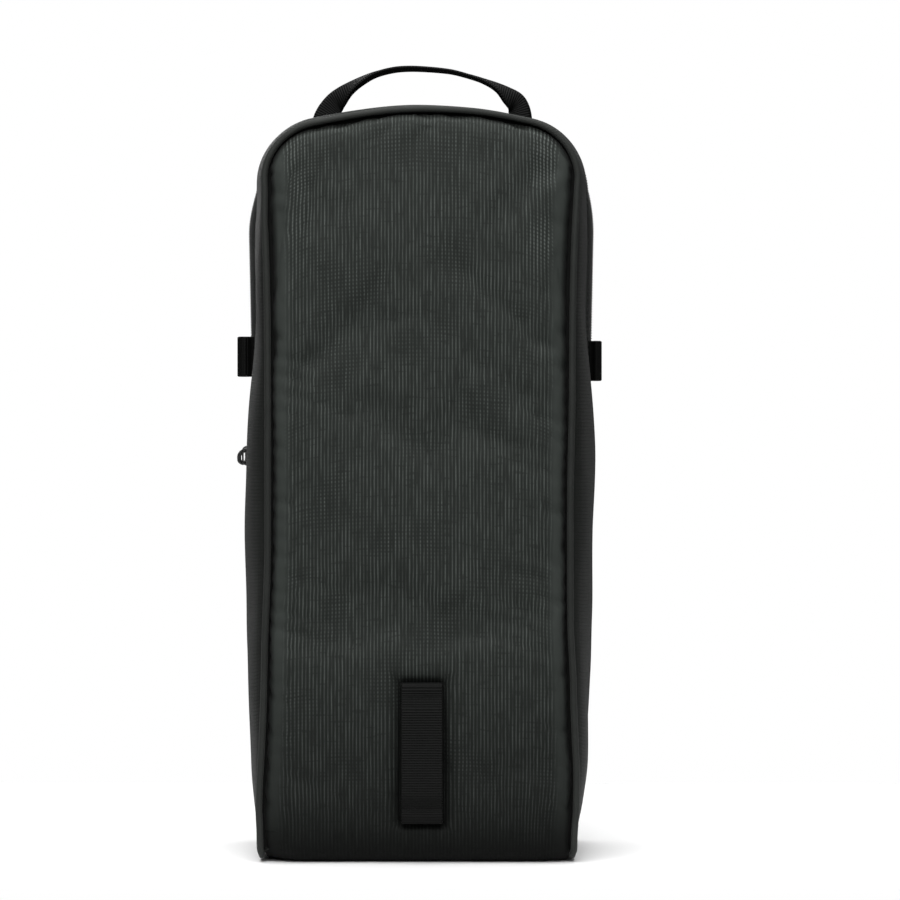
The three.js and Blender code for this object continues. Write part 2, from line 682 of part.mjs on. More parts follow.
// ---------- front strap ----------
// Webbing sewn to the front at its two ends, standing off the panel between them.
function frontStrap() {
  const face = -(FRONT_FACE_Y - FRONT_CROWN) + CLEARANCE;
  const out = face + STRAP_STAND_OFF;
  const slope = 5;
  const shape = new THREE.Shape();
  shape.moveTo(face, STRAP_LOW_Z);
  shape.lineTo(face + 2 * WEBBING_T, STRAP_LOW_Z);
  shape.lineTo(face + 2 * WEBBING_T, STRAP_LOW_Z + STRAP_END);
  shape.lineTo(out + WEBBING_T, STRAP_LOW_Z + STRAP_END + slope);
  shape.lineTo(out + WEBBING_T, STRAP_HIGH_Z - STRAP_END - slope);
  shape.lineTo(face + 2 * WEBBING_T, STRAP_HIGH_Z - STRAP_END);
  shape.lineTo(face + 2 * WEBBING_T, STRAP_HIGH_Z);
  shape.lineTo(face, STRAP_HIGH_Z);
  shape.lineTo(face, STRAP_HIGH_Z - STRAP_END);
  shape.lineTo(out, STRAP_HIGH_Z - STRAP_END - slope);
  shape.lineTo(out, STRAP_LOW_Z + STRAP_END + slope);
  shape.lineTo(face, STRAP_LOW_Z + STRAP_END);
  shape.closePath();
  const geometry = new THREE.ExtrudeGeometry(shape, { depth: WEBBING_W, bevelEnabled: false });
  // The shape's first axis becomes -Y, its second Z and its depth -X.
  const turn = new THREE.Matrix4().makeBasis(
    new THREE.Vector3(0, -1, 0),
    new THREE.Vector3(0, 0, 1),
    new THREE.Vector3(-1, 0, 0),
  );
  geometry.applyMatrix4(turn);
  geometry.translate(STRAP_X + WEBBING_W / 2, 0, 0);
  return geometry;
}
add("front_strap", frontStrap(), webbing);

export default bag;
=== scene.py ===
"""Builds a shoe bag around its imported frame: piped cloth panels, gussets, a coil zip with a cord pull,
a webbing handle, side loops and a standing front strap."""

import math

import bpy
import numpy as np
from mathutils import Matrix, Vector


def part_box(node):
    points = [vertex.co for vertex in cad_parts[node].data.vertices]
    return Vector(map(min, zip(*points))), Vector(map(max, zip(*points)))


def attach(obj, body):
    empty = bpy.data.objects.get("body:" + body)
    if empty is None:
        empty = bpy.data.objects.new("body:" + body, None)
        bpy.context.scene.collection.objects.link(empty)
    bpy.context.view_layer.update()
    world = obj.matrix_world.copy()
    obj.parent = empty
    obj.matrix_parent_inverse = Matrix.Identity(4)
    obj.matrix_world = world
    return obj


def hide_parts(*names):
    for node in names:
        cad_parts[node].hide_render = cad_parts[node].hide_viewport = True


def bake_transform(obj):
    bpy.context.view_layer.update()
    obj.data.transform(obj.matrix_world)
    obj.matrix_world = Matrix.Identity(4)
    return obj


bl_info = {
    "name": "Shoe bag",
    "version": (1, 0, 0),
    "blender": (4, 5, 0),
    "location": "3D View > Sidebar > Shoe bag",
    "description": "Makes the cloth, webbing and zip of a shoe bag around its frame",
    "category": "Object",
}

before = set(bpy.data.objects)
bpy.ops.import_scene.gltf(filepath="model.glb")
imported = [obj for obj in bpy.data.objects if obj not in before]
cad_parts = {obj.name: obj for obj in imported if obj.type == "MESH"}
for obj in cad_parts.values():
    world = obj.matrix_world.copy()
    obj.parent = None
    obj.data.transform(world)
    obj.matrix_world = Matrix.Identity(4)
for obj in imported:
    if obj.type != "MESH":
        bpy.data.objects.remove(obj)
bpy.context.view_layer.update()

MM = 0.001
SEED = 7

# ---------- the frame's sizes, in millimetres ----------


def node_box(node):
    low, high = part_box(node)
    return np.array(low) / MM, np.array(high) / MM


PIPING_LOW, PIPING_HIGH = node_box("front_piping")
BACK_LOW, BACK_HIGH = node_box("back_upper_panel")
HANDLE_LOW, HANDLE_HIGH = node_box("handle_webbing")
STRAP_LOW, STRAP_HIGH = node_box("front_strap")
SLIDER_LOW, SLIDER_HIGH = node_box("zip_slider")
CORD_LOW, CORD_HIGH = node_box("zip_pull_cord")
BOARD_LOW, BOARD_HIGH = node_box("base_board")

FRONT_SEAM_Y = -56.0
BACK_SEAM_Y = 60.0
WAIST_HALF = 77.0
WAIST_Z = 190.0
TOP_FLARE = 3.0
TOP_FLARE_SPAN = 150.0
BASE_FLARE = 4.5
BASE_FLARE_SPAN = 170.0
BASE_FLARE_END_Z = 25.0
CORNER_Z = 343.0
CORNER_R = 30.3
ARCH_SLOPE = math.radians(9)
BACK_GROWTH = 4.0
FULL_BULGE_Z = 195.0
ZIP_Y = 40.0
ZIP_END_Z = 195.0
ZIP_X_LOW = 87.3
ZIP_LEAN = 0.02
ZIP_CURL_Z = 318.0
ZIP_CURL = 0.0049
ABOVE_WAIST_LOSS = 5.6
NEAR_CORNER_LOSS = 2.4
ZIP_FLAT = 5.0
ZIP_FADE = 11.0
STRIP_EDGE_Y = 30.0
REAR_STRIP_Y = 50.0
FRONT_FACE_Y = FRONT_SEAM_Y - 1.5
BACK_FACE_Y = BACK_SEAM_Y + 1.5
FRONT_ROLL_R = 16.0
BACK_ROLL_R = 10.0
CLOTH_T = 1.3
PANEL_INSET = 4.5
STRAP_DENT = 2.4
STRAP_MOAT = 1.9
LOOP_DRAW = {"left": 1.0, "right": 1.7}
SEAM_SINK = 2.5
EDGE_DEPTH = 4.6
EDGE_ROUND = 4.4
PIPING_INSET = 1.0
FRONT_PIPING_Y = FRONT_SEAM_Y - 1.6
BACK_PIPING_Y = BACK_SEAM_Y + 1.6
BASE_RUN = 130.0


# ---------- what a user would change ----------


class ShoeBagSizes(bpy.types.PropertyGroup):
    side_bulge: bpy.props.FloatProperty(
        name="Side bulge",
        description="How far the sides swell between the seams",
        default=11.0 * MM,
        min=0.0,
        max=0.02,
        unit="LENGTH",
    )
    top_bulge: bpy.props.FloatProperty(
        name="Top bulge",
        description="How far the top swells between the seams",
        default=3.0 * MM,
        min=0.0,
        max=0.01,
        unit="LENGTH",
    )
    front_crown: bpy.props.FloatProperty(
        name="Front crown",
        description="How far the padded front stands out of its seam",
        default=4.0 * MM,
        min=0.0,
        max=0.008,
        unit="LENGTH",
    )
    shoulder: bpy.props.FloatProperty(
        name="Shoulder width",
        description="Width of the rounded edge of a padded panel",
        default=12.0 * MM,
        min=0.002,
        max=0.03,
        unit="LENGTH",
    )
    webbing_width: bpy.props.FloatProperty(
        name="Webbing width",
        description="Width of the handle, the loops and the front strap",
        default=20.0 * MM,
        min=0.01,
        max=0.03,
        unit="LENGTH",
    )
    webbing_thickness: bpy.props.FloatProperty(
        name="Webbing thickness",
        description="Thickness of one layer of webbing",
        default=1.5 * MM,
        min=0.0005,
        max=0.003,
        unit="LENGTH",
    )
    piping_radius: bpy.props.FloatProperty(
        name="Piping radius",
        description="Radius of the covered piping cord",
        default=1.7 * MM,
        min=0.0005,
        max=0.003,
        unit="LENGTH",
    )
    coil_pitch: bpy.props.FloatProperty(
        name="Coil pitch",
        description="Distance from one turn of the zip's coil to the next",
        default=1.4 * MM,
        min=0.0005,
        max=0.003,
        unit="LENGTH",
    )
    stitch_length: bpy.props.FloatProperty(
        name="Stitch length",
        description="Length of one stitch of the seams that show",
        default=2.6 * MM,
        min=0.001,
        max=0.006,
        unit="LENGTH",
    )


def colour_property(name, description, code):
    return bpy.props.StringProperty(name=name, description=description, default=code)


class ShoeBagColours(bpy.types.PropertyGroup):
    cloth: colour_property("Cloth", "sRGB hex of the ribbed outer cloth", "#525754")
    cloth_valley: colour_property("Cloth valleys", "sRGB hex between the ribs", "#151715")
    gusset: colour_property("Gusset", "sRGB hex of the gusset cloth", "#212321")
    piping: colour_property("Piping", "sRGB hex of the piping's cover", "#303230")
    webbing: colour_property("Webbing", "sRGB hex of the webbing", "#0B0C0B")
    tape: colour_property("Zip tape", "sRGB hex of the zip tape", "#131413")
    coil: colour_property("Zip coil", "sRGB hex of the nylon coil", "#101110")
    thread: colour_property("Thread", "sRGB hex of the sewing thread", "#121312")
    cord: colour_property("Pull cord", "sRGB hex of the braided cord", "#1D1E1D")
    metal: colour_property("Slider", "sRGB hex of the enamelled slider", "#101010")
    lining: colour_property("Lining", "sRGB hex of the lining", "#4A4C4B")
    floor: colour_property("Floor", "sRGB hex of the studio floor", "#F4F4F4")


def size(name):
    """A size in millimetres."""
    return getattr(bpy.context.scene.shoe_bag_sizes, name) / MM


def linear(name):
    """A colour of the group as linear RGBA, from its sRGB hex value."""
    code = getattr(bpy.context.scene.shoe_bag_colours, name).lstrip("#")
    if len(code) != 6:
        raise ValueError(f"{name} is not a six-digit hex colour")
    values = [int(code[i : i + 2], 16) / 255 for i in (0, 2, 4)]
    return [v / 12.92 if v <= 0.04045 else ((v + 0.055) / 1.055) ** 2.4 for v in values] + [1.0]


# ---------- the outline and the cloth surface ----------


def smooth(low, high, value):
    t = np.clip((value - low) / (high - low), 0, 1)
    return t * t * (3 - 2 * t)


def seam_half(z):
    up = np.clip(z, WAIST_Z, CORNER_Z) - WAIST_Z
    down = WAIST_Z - np.clip(z, BASE_FLARE_END_Z, WAIST_Z)
    return WAIST_HALF + TOP_FLARE * (up / TOP_FLARE_SPAN) ** 4 + BASE_FLARE * (down / BASE_FLARE_SPAN) ** 4


CORNER_X = float(seam_half(CORNER_Z)) - CORNER_R
ARCH_R = CORNER_R + CORNER_X / math.sin(ARCH_SLOPE)
ARCH_Z = CORNER_Z - (ARCH_R - CORNER_R) * math.cos(ARCH_SLOPE)
FULL_TURN = math.pi / 2 - ARCH_SLOPE


def side_places(side, zs):
    """Rows of x, z, outward x, outward z and turn, up one side of the seam's outline."""
    zs = np.asarray(zs, float)
    flat = np.zeros_like(zs)
    return np.stack([side * seam_half(zs), zs, flat + side, flat, flat], 1)


def corner_places(side, angles):
    nx, nz = side * np.cos(angles), np.sin(angles)
    x = side * CORNER_X + CORNER_R * nx
    return np.stack([x, CORNER_Z + CORNER_R * nz, nx, nz, angles / FULL_TURN], 1)


def arch_places(slopes):
    nx, nz = np.sin(slopes), np.cos(slopes)
    return np.stack([ARCH_R * nx, ARCH_Z + ARCH_R * nz, nx, nz, np.ones_like(slopes)], 1)


def top_places(pitch):
    """From the left corner over the top to the right corner."""
    corner = np.linspace(0, FULL_TURN, int(CORNER_R * 1.4 * FULL_TURN / pitch) + 2)
    arch = np.linspace(-ARCH_SLOPE, ARCH_SLOPE, int(2 * CORNER_X / pitch) + 2)
    return np.vstack([corner_places(-1, corner), arch_places(arch[1:-1]), corner_places(1, corner[::-1])])


def arc_places(low, pitch):
    """The whole outline, from the left foot over the top to the right foot."""
    zs = np.linspace(low, CORNER_Z, int((CORNER_Z - low) / pitch) + 2)[:-1]
    return np.vstack([side_places(-1, zs), top_places(pitch), side_places(1, zs[::-1])])


def growth_at(z):
    return BACK_GROWTH * smooth(0, 80, z)


def stand_out(places, y):
    """How far the cloth stands outside the front seam's outline, for each place and each depth."""
    z, turn = places[:, 1:2], places[:, 4:5]
    y = np.atleast_1d(np.asarray(y, float))[None, :]
    t = (y - FRONT_SEAM_Y) / (BACK_SEAM_Y - FRONT_SEAM_Y)
    swell = np.clip(1 - np.abs(2 * t - 1) ** 3, 0, None) ** 0.8
    low = np.minimum(z, FULL_BULGE_Z)
    side = size("side_bulge") * (1 - (1 - low / FULL_BULGE_Z) ** 2)
    side = side - ABOVE_WAIST_LOSS * smooth(200, 280, z) - NEAR_CORNER_LOSS * smooth(300, 345, z)
    bulge = side + (size("top_bulge") - side) * turn
    free = growth_at(z) * t + bulge * swell
    capped = np.minimum(z, CORNER_Z)
    curl = ZIP_CURL * np.clip(capped - ZIP_CURL_Z, 0, None) ** 2
    zip_side = ZIP_X_LOW + ZIP_LEAN * (capped - ZIP_END_Z) - curl - seam_half(capped)
    at_zip = zip_side + (BACK_GROWTH + size("top_bulge") * 0.5 - zip_side) * turn
    near = 1 - smooth(ZIP_FLAT, ZIP_FLAT + ZIP_FADE, np.abs(y - ZIP_Y))
    hold = near * smooth(ZIP_END_Z - 85, ZIP_END_Z - 35, z)
    return free + (at_zip - free) * hold


def on_cloth(places, ys, lift=0.0):
    """Points of the cloth wall, places by depths."""
    ys = np.atleast_1d(np.asarray(ys, float))
    out = stand_out(places, ys) + lift
    x = places[:, 0:1] + places[:, 2:3] * out
    z = places[:, 1:2] + places[:, 3:4] * out
    return np.stack([x, np.broadcast_to(ys[None, :], x.shape), z], 2)


def ripple(points, wavelength, seed, octaves=5):
    """Soft seeded undulation of about unit height, from sines in random directions."""
    rng = np.random.default_rng(SEED + seed)
    total = np.zeros(points.shape[:-1])
    for _ in range(octaves):
        direction = rng.normal(size=3)
        direction /= np.linalg.norm(direction)
        spread = rng.uniform(0.7, 1.4)
        phase = rng.uniform(0, 2 * math.pi)
        total += np.sin(points @ direction * (2 * math.pi / (wavelength * spread)) + phase)
    return total / octaves**0.5


def lie_of_cloth(points):
    """How a used bag stands: its top corners drop, the left one more, and its right foot draws in."""
    x, z = points[:, 0], points[:, 2]
    left, right = np.clip(-x, 0, None), np.clip(x, 0, None)
    high = smooth(318, 370, z)
    aside = 1.4 * smooth(40, 76, left) * smooth(318, 345, z) - 0.5 * smooth(40, 76, right) * high
    aside -= 1.4 * smooth(40, 80, left) * smooth(12, 44, z) * (1 - smooth(100, 160, z))
    aside -= 2.9 * smooth(35, 80, right) * (1 - smooth(10, 50, z))
    aside -= 1.0 * smooth(50, 80, right) * smooth(90, 120, z) * (1 - smooth(175, 235, z))
    drop = (3.0 * smooth(0, 64, left) + 1.9 * smooth(24, 64, right)) * high
    return points + np.stack([aside, 0 * x, -drop], 1)


# ---------- meshes ----------


def grid_normals(points):
    across = np.gradient(points, axis=1)
    along = np.gradient(points, axis=0)
    normal = np.cross(along, across)
    length = np.linalg.norm(normal, axis=2, keepdims=True)
    return normal / np.maximum(length, 1e-9)


def grid_faces(rows, columns, first=0, reverse=False):
    i, j = np.meshgrid(np.arange(rows - 1), np.arange(columns - 1), indexing="ij")
    a = (first + i * columns + j).ravel()
    faces = np.stack([a, a + 1, a + columns + 1, a + columns], 1)
    return faces[:, ::-1] if reverse else faces


def cloth_uv(points):
    """Distances over the cloth in millimetres: across the columns, and along the rows."""
    along = np.linalg.norm(np.diff(points, axis=0), axis=2).mean(1)
    across = np.linalg.norm(np.diff(points, axis=1), axis=2)
    v = np.concatenate([[0], np.cumsum(along)])
    u = np.concatenate([np.zeros((points.shape[0], 1)), np.cumsum(across, axis=1)], 1)
    u -= u[:, -1:] / 2
    return np.stack([u, np.broadcast_to(v[:, None], u.shape)], 2)


def shell(points, thickness, outward=1, uv=None):
    """A sheet of cloth with a thickness and a rounded rim. outward says which way its face is."""
    rows, columns = points.shape[:2]
    normal = grid_normals(points) * outward
    uv = cloth_uv(points) if uv is None else uv
    inner = points - normal * thickness
    turned = outward > 0
    verts = [points.reshape(-1, 3), inner.reshape(-1, 3)]
    faces = [grid_faces(rows, columns, 0, not turned), grid_faces(rows, columns, rows * columns, turned)]
    ring = np.concatenate(
        [
            np.arange(columns),
            np.arange(1, rows) * columns + columns - 1,
            (rows - 1) * columns + np.arange(columns - 2, -1, -1),
            np.arange(rows - 2, 0, -1) * columns,
        ]
    )
    inside = np.clip(ring // columns, 1, rows - 2) * columns + np.clip(ring % columns, 1, columns - 2)
    flat = points.reshape(-1, 3)
    flat_inner = inner.reshape(-1, 3)
    away = flat[ring] - flat[inside]
    away /= np.maximum(np.linalg.norm(away, axis=1, keepdims=True), 1e-9)
    rim = (flat[ring] + flat_inner[ring]) / 2 + away * thickness * 0.35
    count = len(ring)
    first = 2 * rows * columns
    here, there = np.arange(count), (np.arange(count) + 1) % count
    upper = np.stack([ring[here], ring[there], first + there, first + here], 1)
    lower = np.stack([first + here, first + there, rows * columns + ring[there], rows * columns + ring[here]], 1)
    verts.append(rim)
    faces += [upper[:, ::-1], lower[:, ::-1]] if not turned else [upper, lower]
    flat_uv = uv.reshape(-1, 2)
    return np.vstack(verts), np.vstack(faces), np.vstack([flat_uv, flat_uv, flat_uv[ring]])


def path_frames(path, across):
    """Tangents, and two directions square to them, the first as near to across as can be."""
    tangent = np.gradient(path, axis=0)
    tangent /= np.linalg.norm(tangent, axis=1, keepdims=True)
    across = np.broadcast_to(np.asarray(across, float), path.shape)
    first = across - tangent * np.sum(across * tangent, 1, keepdims=True)
    first /= np.linalg.norm(first, axis=1, keepdims=True)
    return tangent, first, np.cross(tangent, first)


def tube(path, radius, sides, across=(0, 1, 0), endless=False, cap=True):
    """A round tube along a path, with rounded ends unless it is endless. radius may vary along it."""
    path = np.asarray(path, float)
    if endless:
        looped = np.vstack([path[-1:], path, path[:1]])
        _, first, second = (a[1:-1] for a in path_frames(looped, across))
    else:
        tangent, first, second = path_frames(path, across)
    radius = np.broadcast_to(np.asarray(radius, float), len(path)).copy()
    if cap and not endless:
        ends = []
        for index, sign in ((0, -1), (-1, 1)):
            steps = [(0.97, 0.3), (0.75, 0.7), (0.35, 0.95)]
            ends.append([(path[index] + sign * tangent[index] * radius[index] * b, radius[index] * a) for a, b in steps])
        path = np.vstack([[p for p, _ in ends[0][::-1]], path, [p for p, _ in ends[1]]])
        radius = np.concatenate([[r for _, r in ends[0][::-1]], radius, [r for _, r in ends[1]]])
        first = np.vstack([np.repeat(first[:1], 3, 0), first, np.repeat(first[-1:], 3, 0)])
        second = np.vstack([np.repeat(second[:1], 3, 0), second, np.repeat(second[-1:], 3, 0)])
    angle = np.arange(sides) * 2 * math.pi / sides
    ring = first[:, None] * np.cos(angle)[None, :, None] + second[:, None] * np.sin(angle)[None, :, None]
    points = path[:, None] + ring * radius[:, None, None]
    rows = len(path)
    index = np.arange(rows * sides).reshape(rows, sides)
    nxt = np.roll(index, -1, 1)
    if endless:
        low, high, low_n, high_n = index, np.roll(index, -1, 0), nxt, np.roll(nxt, -1, 0)
    else:
        low, high, low_n, high_n = index[:-1], index[1:], nxt[:-1], nxt[1:]
    faces = np.stack([low.ravel(), low_n.ravel(), high_n.ravel(), high.ravel()], 1)
    length = np.concatenate([[0], np.cumsum(np.linalg.norm(np.diff(path, axis=0), axis=1))])
    uv = np.stack([np.broadcast_to((angle * radius.max())[None, :], (rows, sides)), np.broadcast_to(length[:, None], (rows, sides))], 2)
    verts = points.reshape(-1, 3)
    faces = [tuple(f) for f in faces]
    if not endless:
        faces += [tuple(index[0][::-1]), tuple(index[-1])]
    return verts, faces, uv.reshape(-1, 2)


def spline(points, count, endless=False):
    """A smooth path through points, evenly spaced."""
    points = np.asarray(points, float)
    if endless:
        ext = np.vstack([points[-1:], points, points[:2]])
    else:
        ext = np.vstack([2 * points[:1] - points[1:2], points, 2 * points[-1:] - points[-2:-1]])
    fine = []
    for i in range(1, len(ext) - 2):
        a, b, c, d = ext[i - 1 : i + 3]
        t = np.linspace(0, 1, 24, endpoint=False)[:, None]
        fine.append(
            0.5 * (2 * b + (c - a) * t + (2 * a - 5 * b + 4 * c - d) * t**2 + (3 * b - a - 3 * c + d) * t**3)
        )
    fine = np.vstack(fine + [ext[-2:-1]])
    return resample(fine, count + 1)[:-1] if endless else resample(fine, count)


def resample(path, count):
    length = np.concatenate([[0], np.cumsum(np.linalg.norm(np.diff(path, axis=0), axis=1))])
    at = np.linspace(0, length[-1], count)
    return np.stack([np.interp(at, length, path[:, k]) for k in range(path.shape[1])], 1)


def spline_rows(rows, count):
    """A smooth curve through rows of any values, evenly spaced by the first two."""
    smoothed = spline(rows, count)
    length = np.concatenate([[0], np.cumsum(np.linalg.norm(np.diff(smoothed[:, :2], axis=0), axis=1))])
    at = np.linspace(0, length[-1], count)
    return np.stack([np.interp(at, length, smoothed[:, k]) for k in range(rows.shape[1])], 1)


def make_piece(name, parts, material, body="bag", replaces=(), sharp=60, across_joint=None, seam=None):
    """One object from mesh parts in millimetres, riding on a body, or with its placement baked into its points when
    it spans a joint. seam is each vertex's distance from the panel's side and from its whole edge, kept as a second
    set of coordinates."""
    verts, faces, uvs, first = [], [], [], 0
    for part_verts, part_faces, part_uv in parts:
        verts.append(part_verts)
        uvs.append(part_uv)
        faces += [tuple(int(i) + first for i in f) for f in part_faces]
        first += len(part_verts)
    mesh = bpy.data.meshes.new(name)
    verts = np.vstack(verts)
    if body in ("bag", "flap"):
        verts = lie_of_cloth(verts)
    mesh.from_pydata((verts * MM).tolist(), [], faces)
    mesh.validate()
    layer = mesh.uv_layers.new(name="cloth")
    loops = np.zeros(len(mesh.loops), np.int32)
    mesh.loops.foreach_get("vertex_index", loops)
    layer.data.foreach_set("uv", (np.vstack(uvs)[loops] * MM).astype(np.float32).ravel())
    if seam is not None:
        spread = seam[loops] * MM
        mesh.uv_layers.new(name="seam").data.foreach_set("uv", spread.astype(np.float32).ravel())
    mesh.shade_smooth()
    mesh.set_sharp_from_angle(angle=math.radians(sharp))
    mesh.materials.append(material)
    obj = bpy.data.objects.new(name, mesh)
    bpy.context.scene.collection.objects.link(obj)
    if across_joint:
        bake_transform(obj)
    else:
        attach(obj, body)
    if replaces:
        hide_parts(*replaces)
    return obj


def stitch_row(path, normal, thread=0.3, gap=0.7, length=None, zigzag=0.0):
    """Separate stitches along a path, each arched a little over the cloth and sunk at its ends."""
    length = length or size("stitch_length")
    path = np.asarray(path, float)
    normal = np.broadcast_to(np.asarray(normal, float), path.shape)
    run = np.concatenate([[0], np.cumsum(np.linalg.norm(np.diff(path, axis=0), axis=1))])
    count = max(1, int(run[-1] / (length + gap)))
    step = run[-1] / count
    sides = 6
    along = np.array([0.0, 0.12, 0.5, 0.88, 1.0])
    thick = np.array([0.3, 0.95, 1.0, 0.95, 0.3]) * thread
    rise = np.array([-1.2, 0.1, 0.55, 0.1, -1.2]) * thread
    angle = np.arange(sides) * 2 * math.pi / sides
    verts, faces = [], []
    ring_faces = []
    for r in range(len(along) - 1):
        for s in range(sides):
            n = (s + 1) % sides
            ring_faces.append((r * sides + s, r * sides + n, (r + 1) * sides + n, (r + 1) * sides + s))
    ring_faces += [tuple(range(sides))[::-1], tuple(range(4 * sides, 5 * sides))]

    def at(distance, values):
        return np.array([np.interp(distance, run, values[:, k]) for k in range(3)])

    for i in range(count):
        start, end = i * step + gap / 2, (i + 1) * step - gap / 2
        a, b = at(start, path), at(end, path)
        up = at((start + end) / 2, normal)
        up /= np.linalg.norm(up)
        forward = (b - a) / max(np.linalg.norm(b - a), 1e-9)
        aside = np.cross(up, forward)
        swing = zigzag * (1 if i % 2 else -1)
        base = i * len(along) * sides
        for t, r, h in zip(along, thick, rise):
            centre = a + (b - a) * t + up * h + aside * swing * (2 * t - 1)
            for q in angle:
                verts.append(centre + aside * math.cos(q) * r + up * math.sin(q) * r)
        faces += [tuple(base + k for k in f) for f in ring_faces]
    verts = np.array(verts)
    return verts, faces, verts[:, [0, 2]]


def settle(points, pinned, pressure, cap, shrink=0.0, stiffness=12.0, frames=16):
    """Lets a sheet of cloth find its own shape under pressure, held at its pinned points."""
    rows, columns = points.shape[:2]
    mesh = bpy.data.meshes.new("settling_cloth")
    mesh.from_pydata((points.reshape(-1, 3) * MM).tolist(), [], grid_faces(rows, columns).tolist())
    obj = bpy.data.objects.new("settling_cloth", mesh)
    bpy.context.scene.collection.objects.link(obj)
    group = obj.vertex_groups.new(name="held")
    for weight in np.unique(np.round(pinned, 2)):
        if weight > 0:
            group.add(np.nonzero(np.round(pinned.ravel(), 2) == weight)[0].tolist(), float(weight), "REPLACE")
    cloth = obj.modifiers.new("cloth", "CLOTH")
    s = cloth.settings
    s.quality = 6
    s.mass = 0.3
    s.tension_stiffness = stiffness
    s.compression_stiffness = stiffness
    s.shear_stiffness = stiffness * 0.5
    s.bending_stiffness = 0.6
    s.use_pressure = True
    s.uniform_pressure_force = pressure
    s.vertex_group_mass = "held"
    s.pin_stiffness = 1.0
    s.shrink_min = shrink
    s.effector_weights.gravity = 0.0
    s.air_damping = 6.0
    cloth.collision_settings.use_self_collision = False
    cloth.collision_settings.use_collision = False
    cloth.point_cache.frame_start = 1
    cloth.point_cache.frame_end = frames
    for f in range(1, frames + 1):
        bpy.context.scene.frame_set(f)
    done = obj.evaluated_get(bpy.context.evaluated_depsgraph_get())
    co = np.zeros(len(done.data.vertices) * 3, np.float32)
    done.data.vertices.foreach_get("co", co)
    moved = co.reshape(points.shape).astype(float) / MM - points
    bpy.data.objects.remove(obj)
    bpy.data.meshes.remove(mesh)
    bpy.context.scene.frame_set(1)
    far = np.linalg.norm(moved, axis=2, keepdims=True)
    if not np.isfinite(far).all():
        raise RuntimeError("the cloth didn't settle")
    moved = moved * np.minimum(1, cap / np.maximum(far, 1e-9))
    return points + moved


# ---------- materials ----------


def add_node(tree, kind, values=None, **settings):
    """Adds a node, sets its settings, and sets or links its inputs."""
    node = tree.nodes.new(kind)
    for key, value in settings.items():
        setattr(node, key, value)
    for key, value in (values or {}).items():
        if isinstance(value, bpy.types.NodeSocket):
            tree.links.new(value, node.inputs[key])
        else:
            node.inputs[key].default_value = value
    return node


def start_material(name):
    material = bpy.data.materials.new(name)
    material.use_nodes = True
    tree = material.node_tree
    tree.nodes.clear()
    return material, tree


def finish_material(tree, colour, height, distance, roughness, **shader_values):
    """Bump from a height, and the surface shader."""
    bump = add_node(tree, "ShaderNodeBump", {"Height": height, "Distance": distance * MM, "Strength": 1.0})
    values = {"Base Color": colour, "Normal": bump.outputs["Normal"], "Roughness": roughness}
    values.update({key.replace("_", " "): value for key, value in shader_values.items()})
    shader = add_node(tree, "ShaderNodeBsdfPrincipled", values)
    add_node(tree, "ShaderNodeOutputMaterial", {"Surface": shader.outputs["BSDF"]})


def cloth_axes(tree, turn=0.0, wander=0.25, wander_scale=18.0):
    """The cloth's two directions in millimetres, wandering a little as yarns do."""
    uv = add_node(tree, "ShaderNodeUVMap", uv_map="cloth")
    scaled = add_node(
        tree,
        "ShaderNodeMapping",
        {"Vector": uv.outputs["UV"], "Scale": (1 / MM, 1 / MM, 1.0), "Rotation": (0, 0, turn)},
    )
    noise = add_node(tree, "ShaderNodeTexNoise", {"Vector": scaled.outputs["Vector"], "Scale": 1 / wander_scale})
    shift = add_node(
        tree,
        "ShaderNodeVectorMath",
        {0: noise.outputs["Color"], 1: (wander, wander, 0)},
        operation="MULTIPLY",
    )
    moved = add_node(
        tree,
        "ShaderNodeVectorMath",
        {0: scaled.outputs["Vector"], 1: shift.outputs["Vector"]},
        operation="ADD",
    )
    parts = add_node(tree, "ShaderNodeSeparateXYZ", {"Vector": moved.outputs["Vector"]})
    return scaled.outputs["Vector"], parts.outputs["X"], parts.outputs["Y"]


def yarns(tree, axis, pitch, phase=0.0):
    """A wave from 0 to 1 across yarns of one pitch in millimetres."""
    angle = add_node(
        tree,
        "ShaderNodeMath",
        {0: axis, 1: 2 * math.pi / pitch, 2: phase},
        operation="MULTIPLY_ADD",
    )
    wave = add_node(tree, "ShaderNodeMath", {0: angle.outputs[0]}, operation="SINE")
    half = add_node(tree, "ShaderNodeMath", {0: wave.outputs[0], 1: 0.5, 2: 0.5}, operation="MULTIPLY_ADD")
    return half.outputs[0]


def blend_colours(tree, factor, low, high):
    mix = add_node(tree, "ShaderNodeMix", {"Factor": factor}, data_type="RGBA")
    for socket, value in (("A", low), ("B", high)):
        target = [s for s in mix.inputs if s.name == socket and s.type == "RGBA"][0]
        if isinstance(value, bpy.types.NodeSocket):
            tree.links.new(value, target)
        else:
            target.default_value = value
    return [s for s in mix.outputs if s.type == "RGBA"][0]


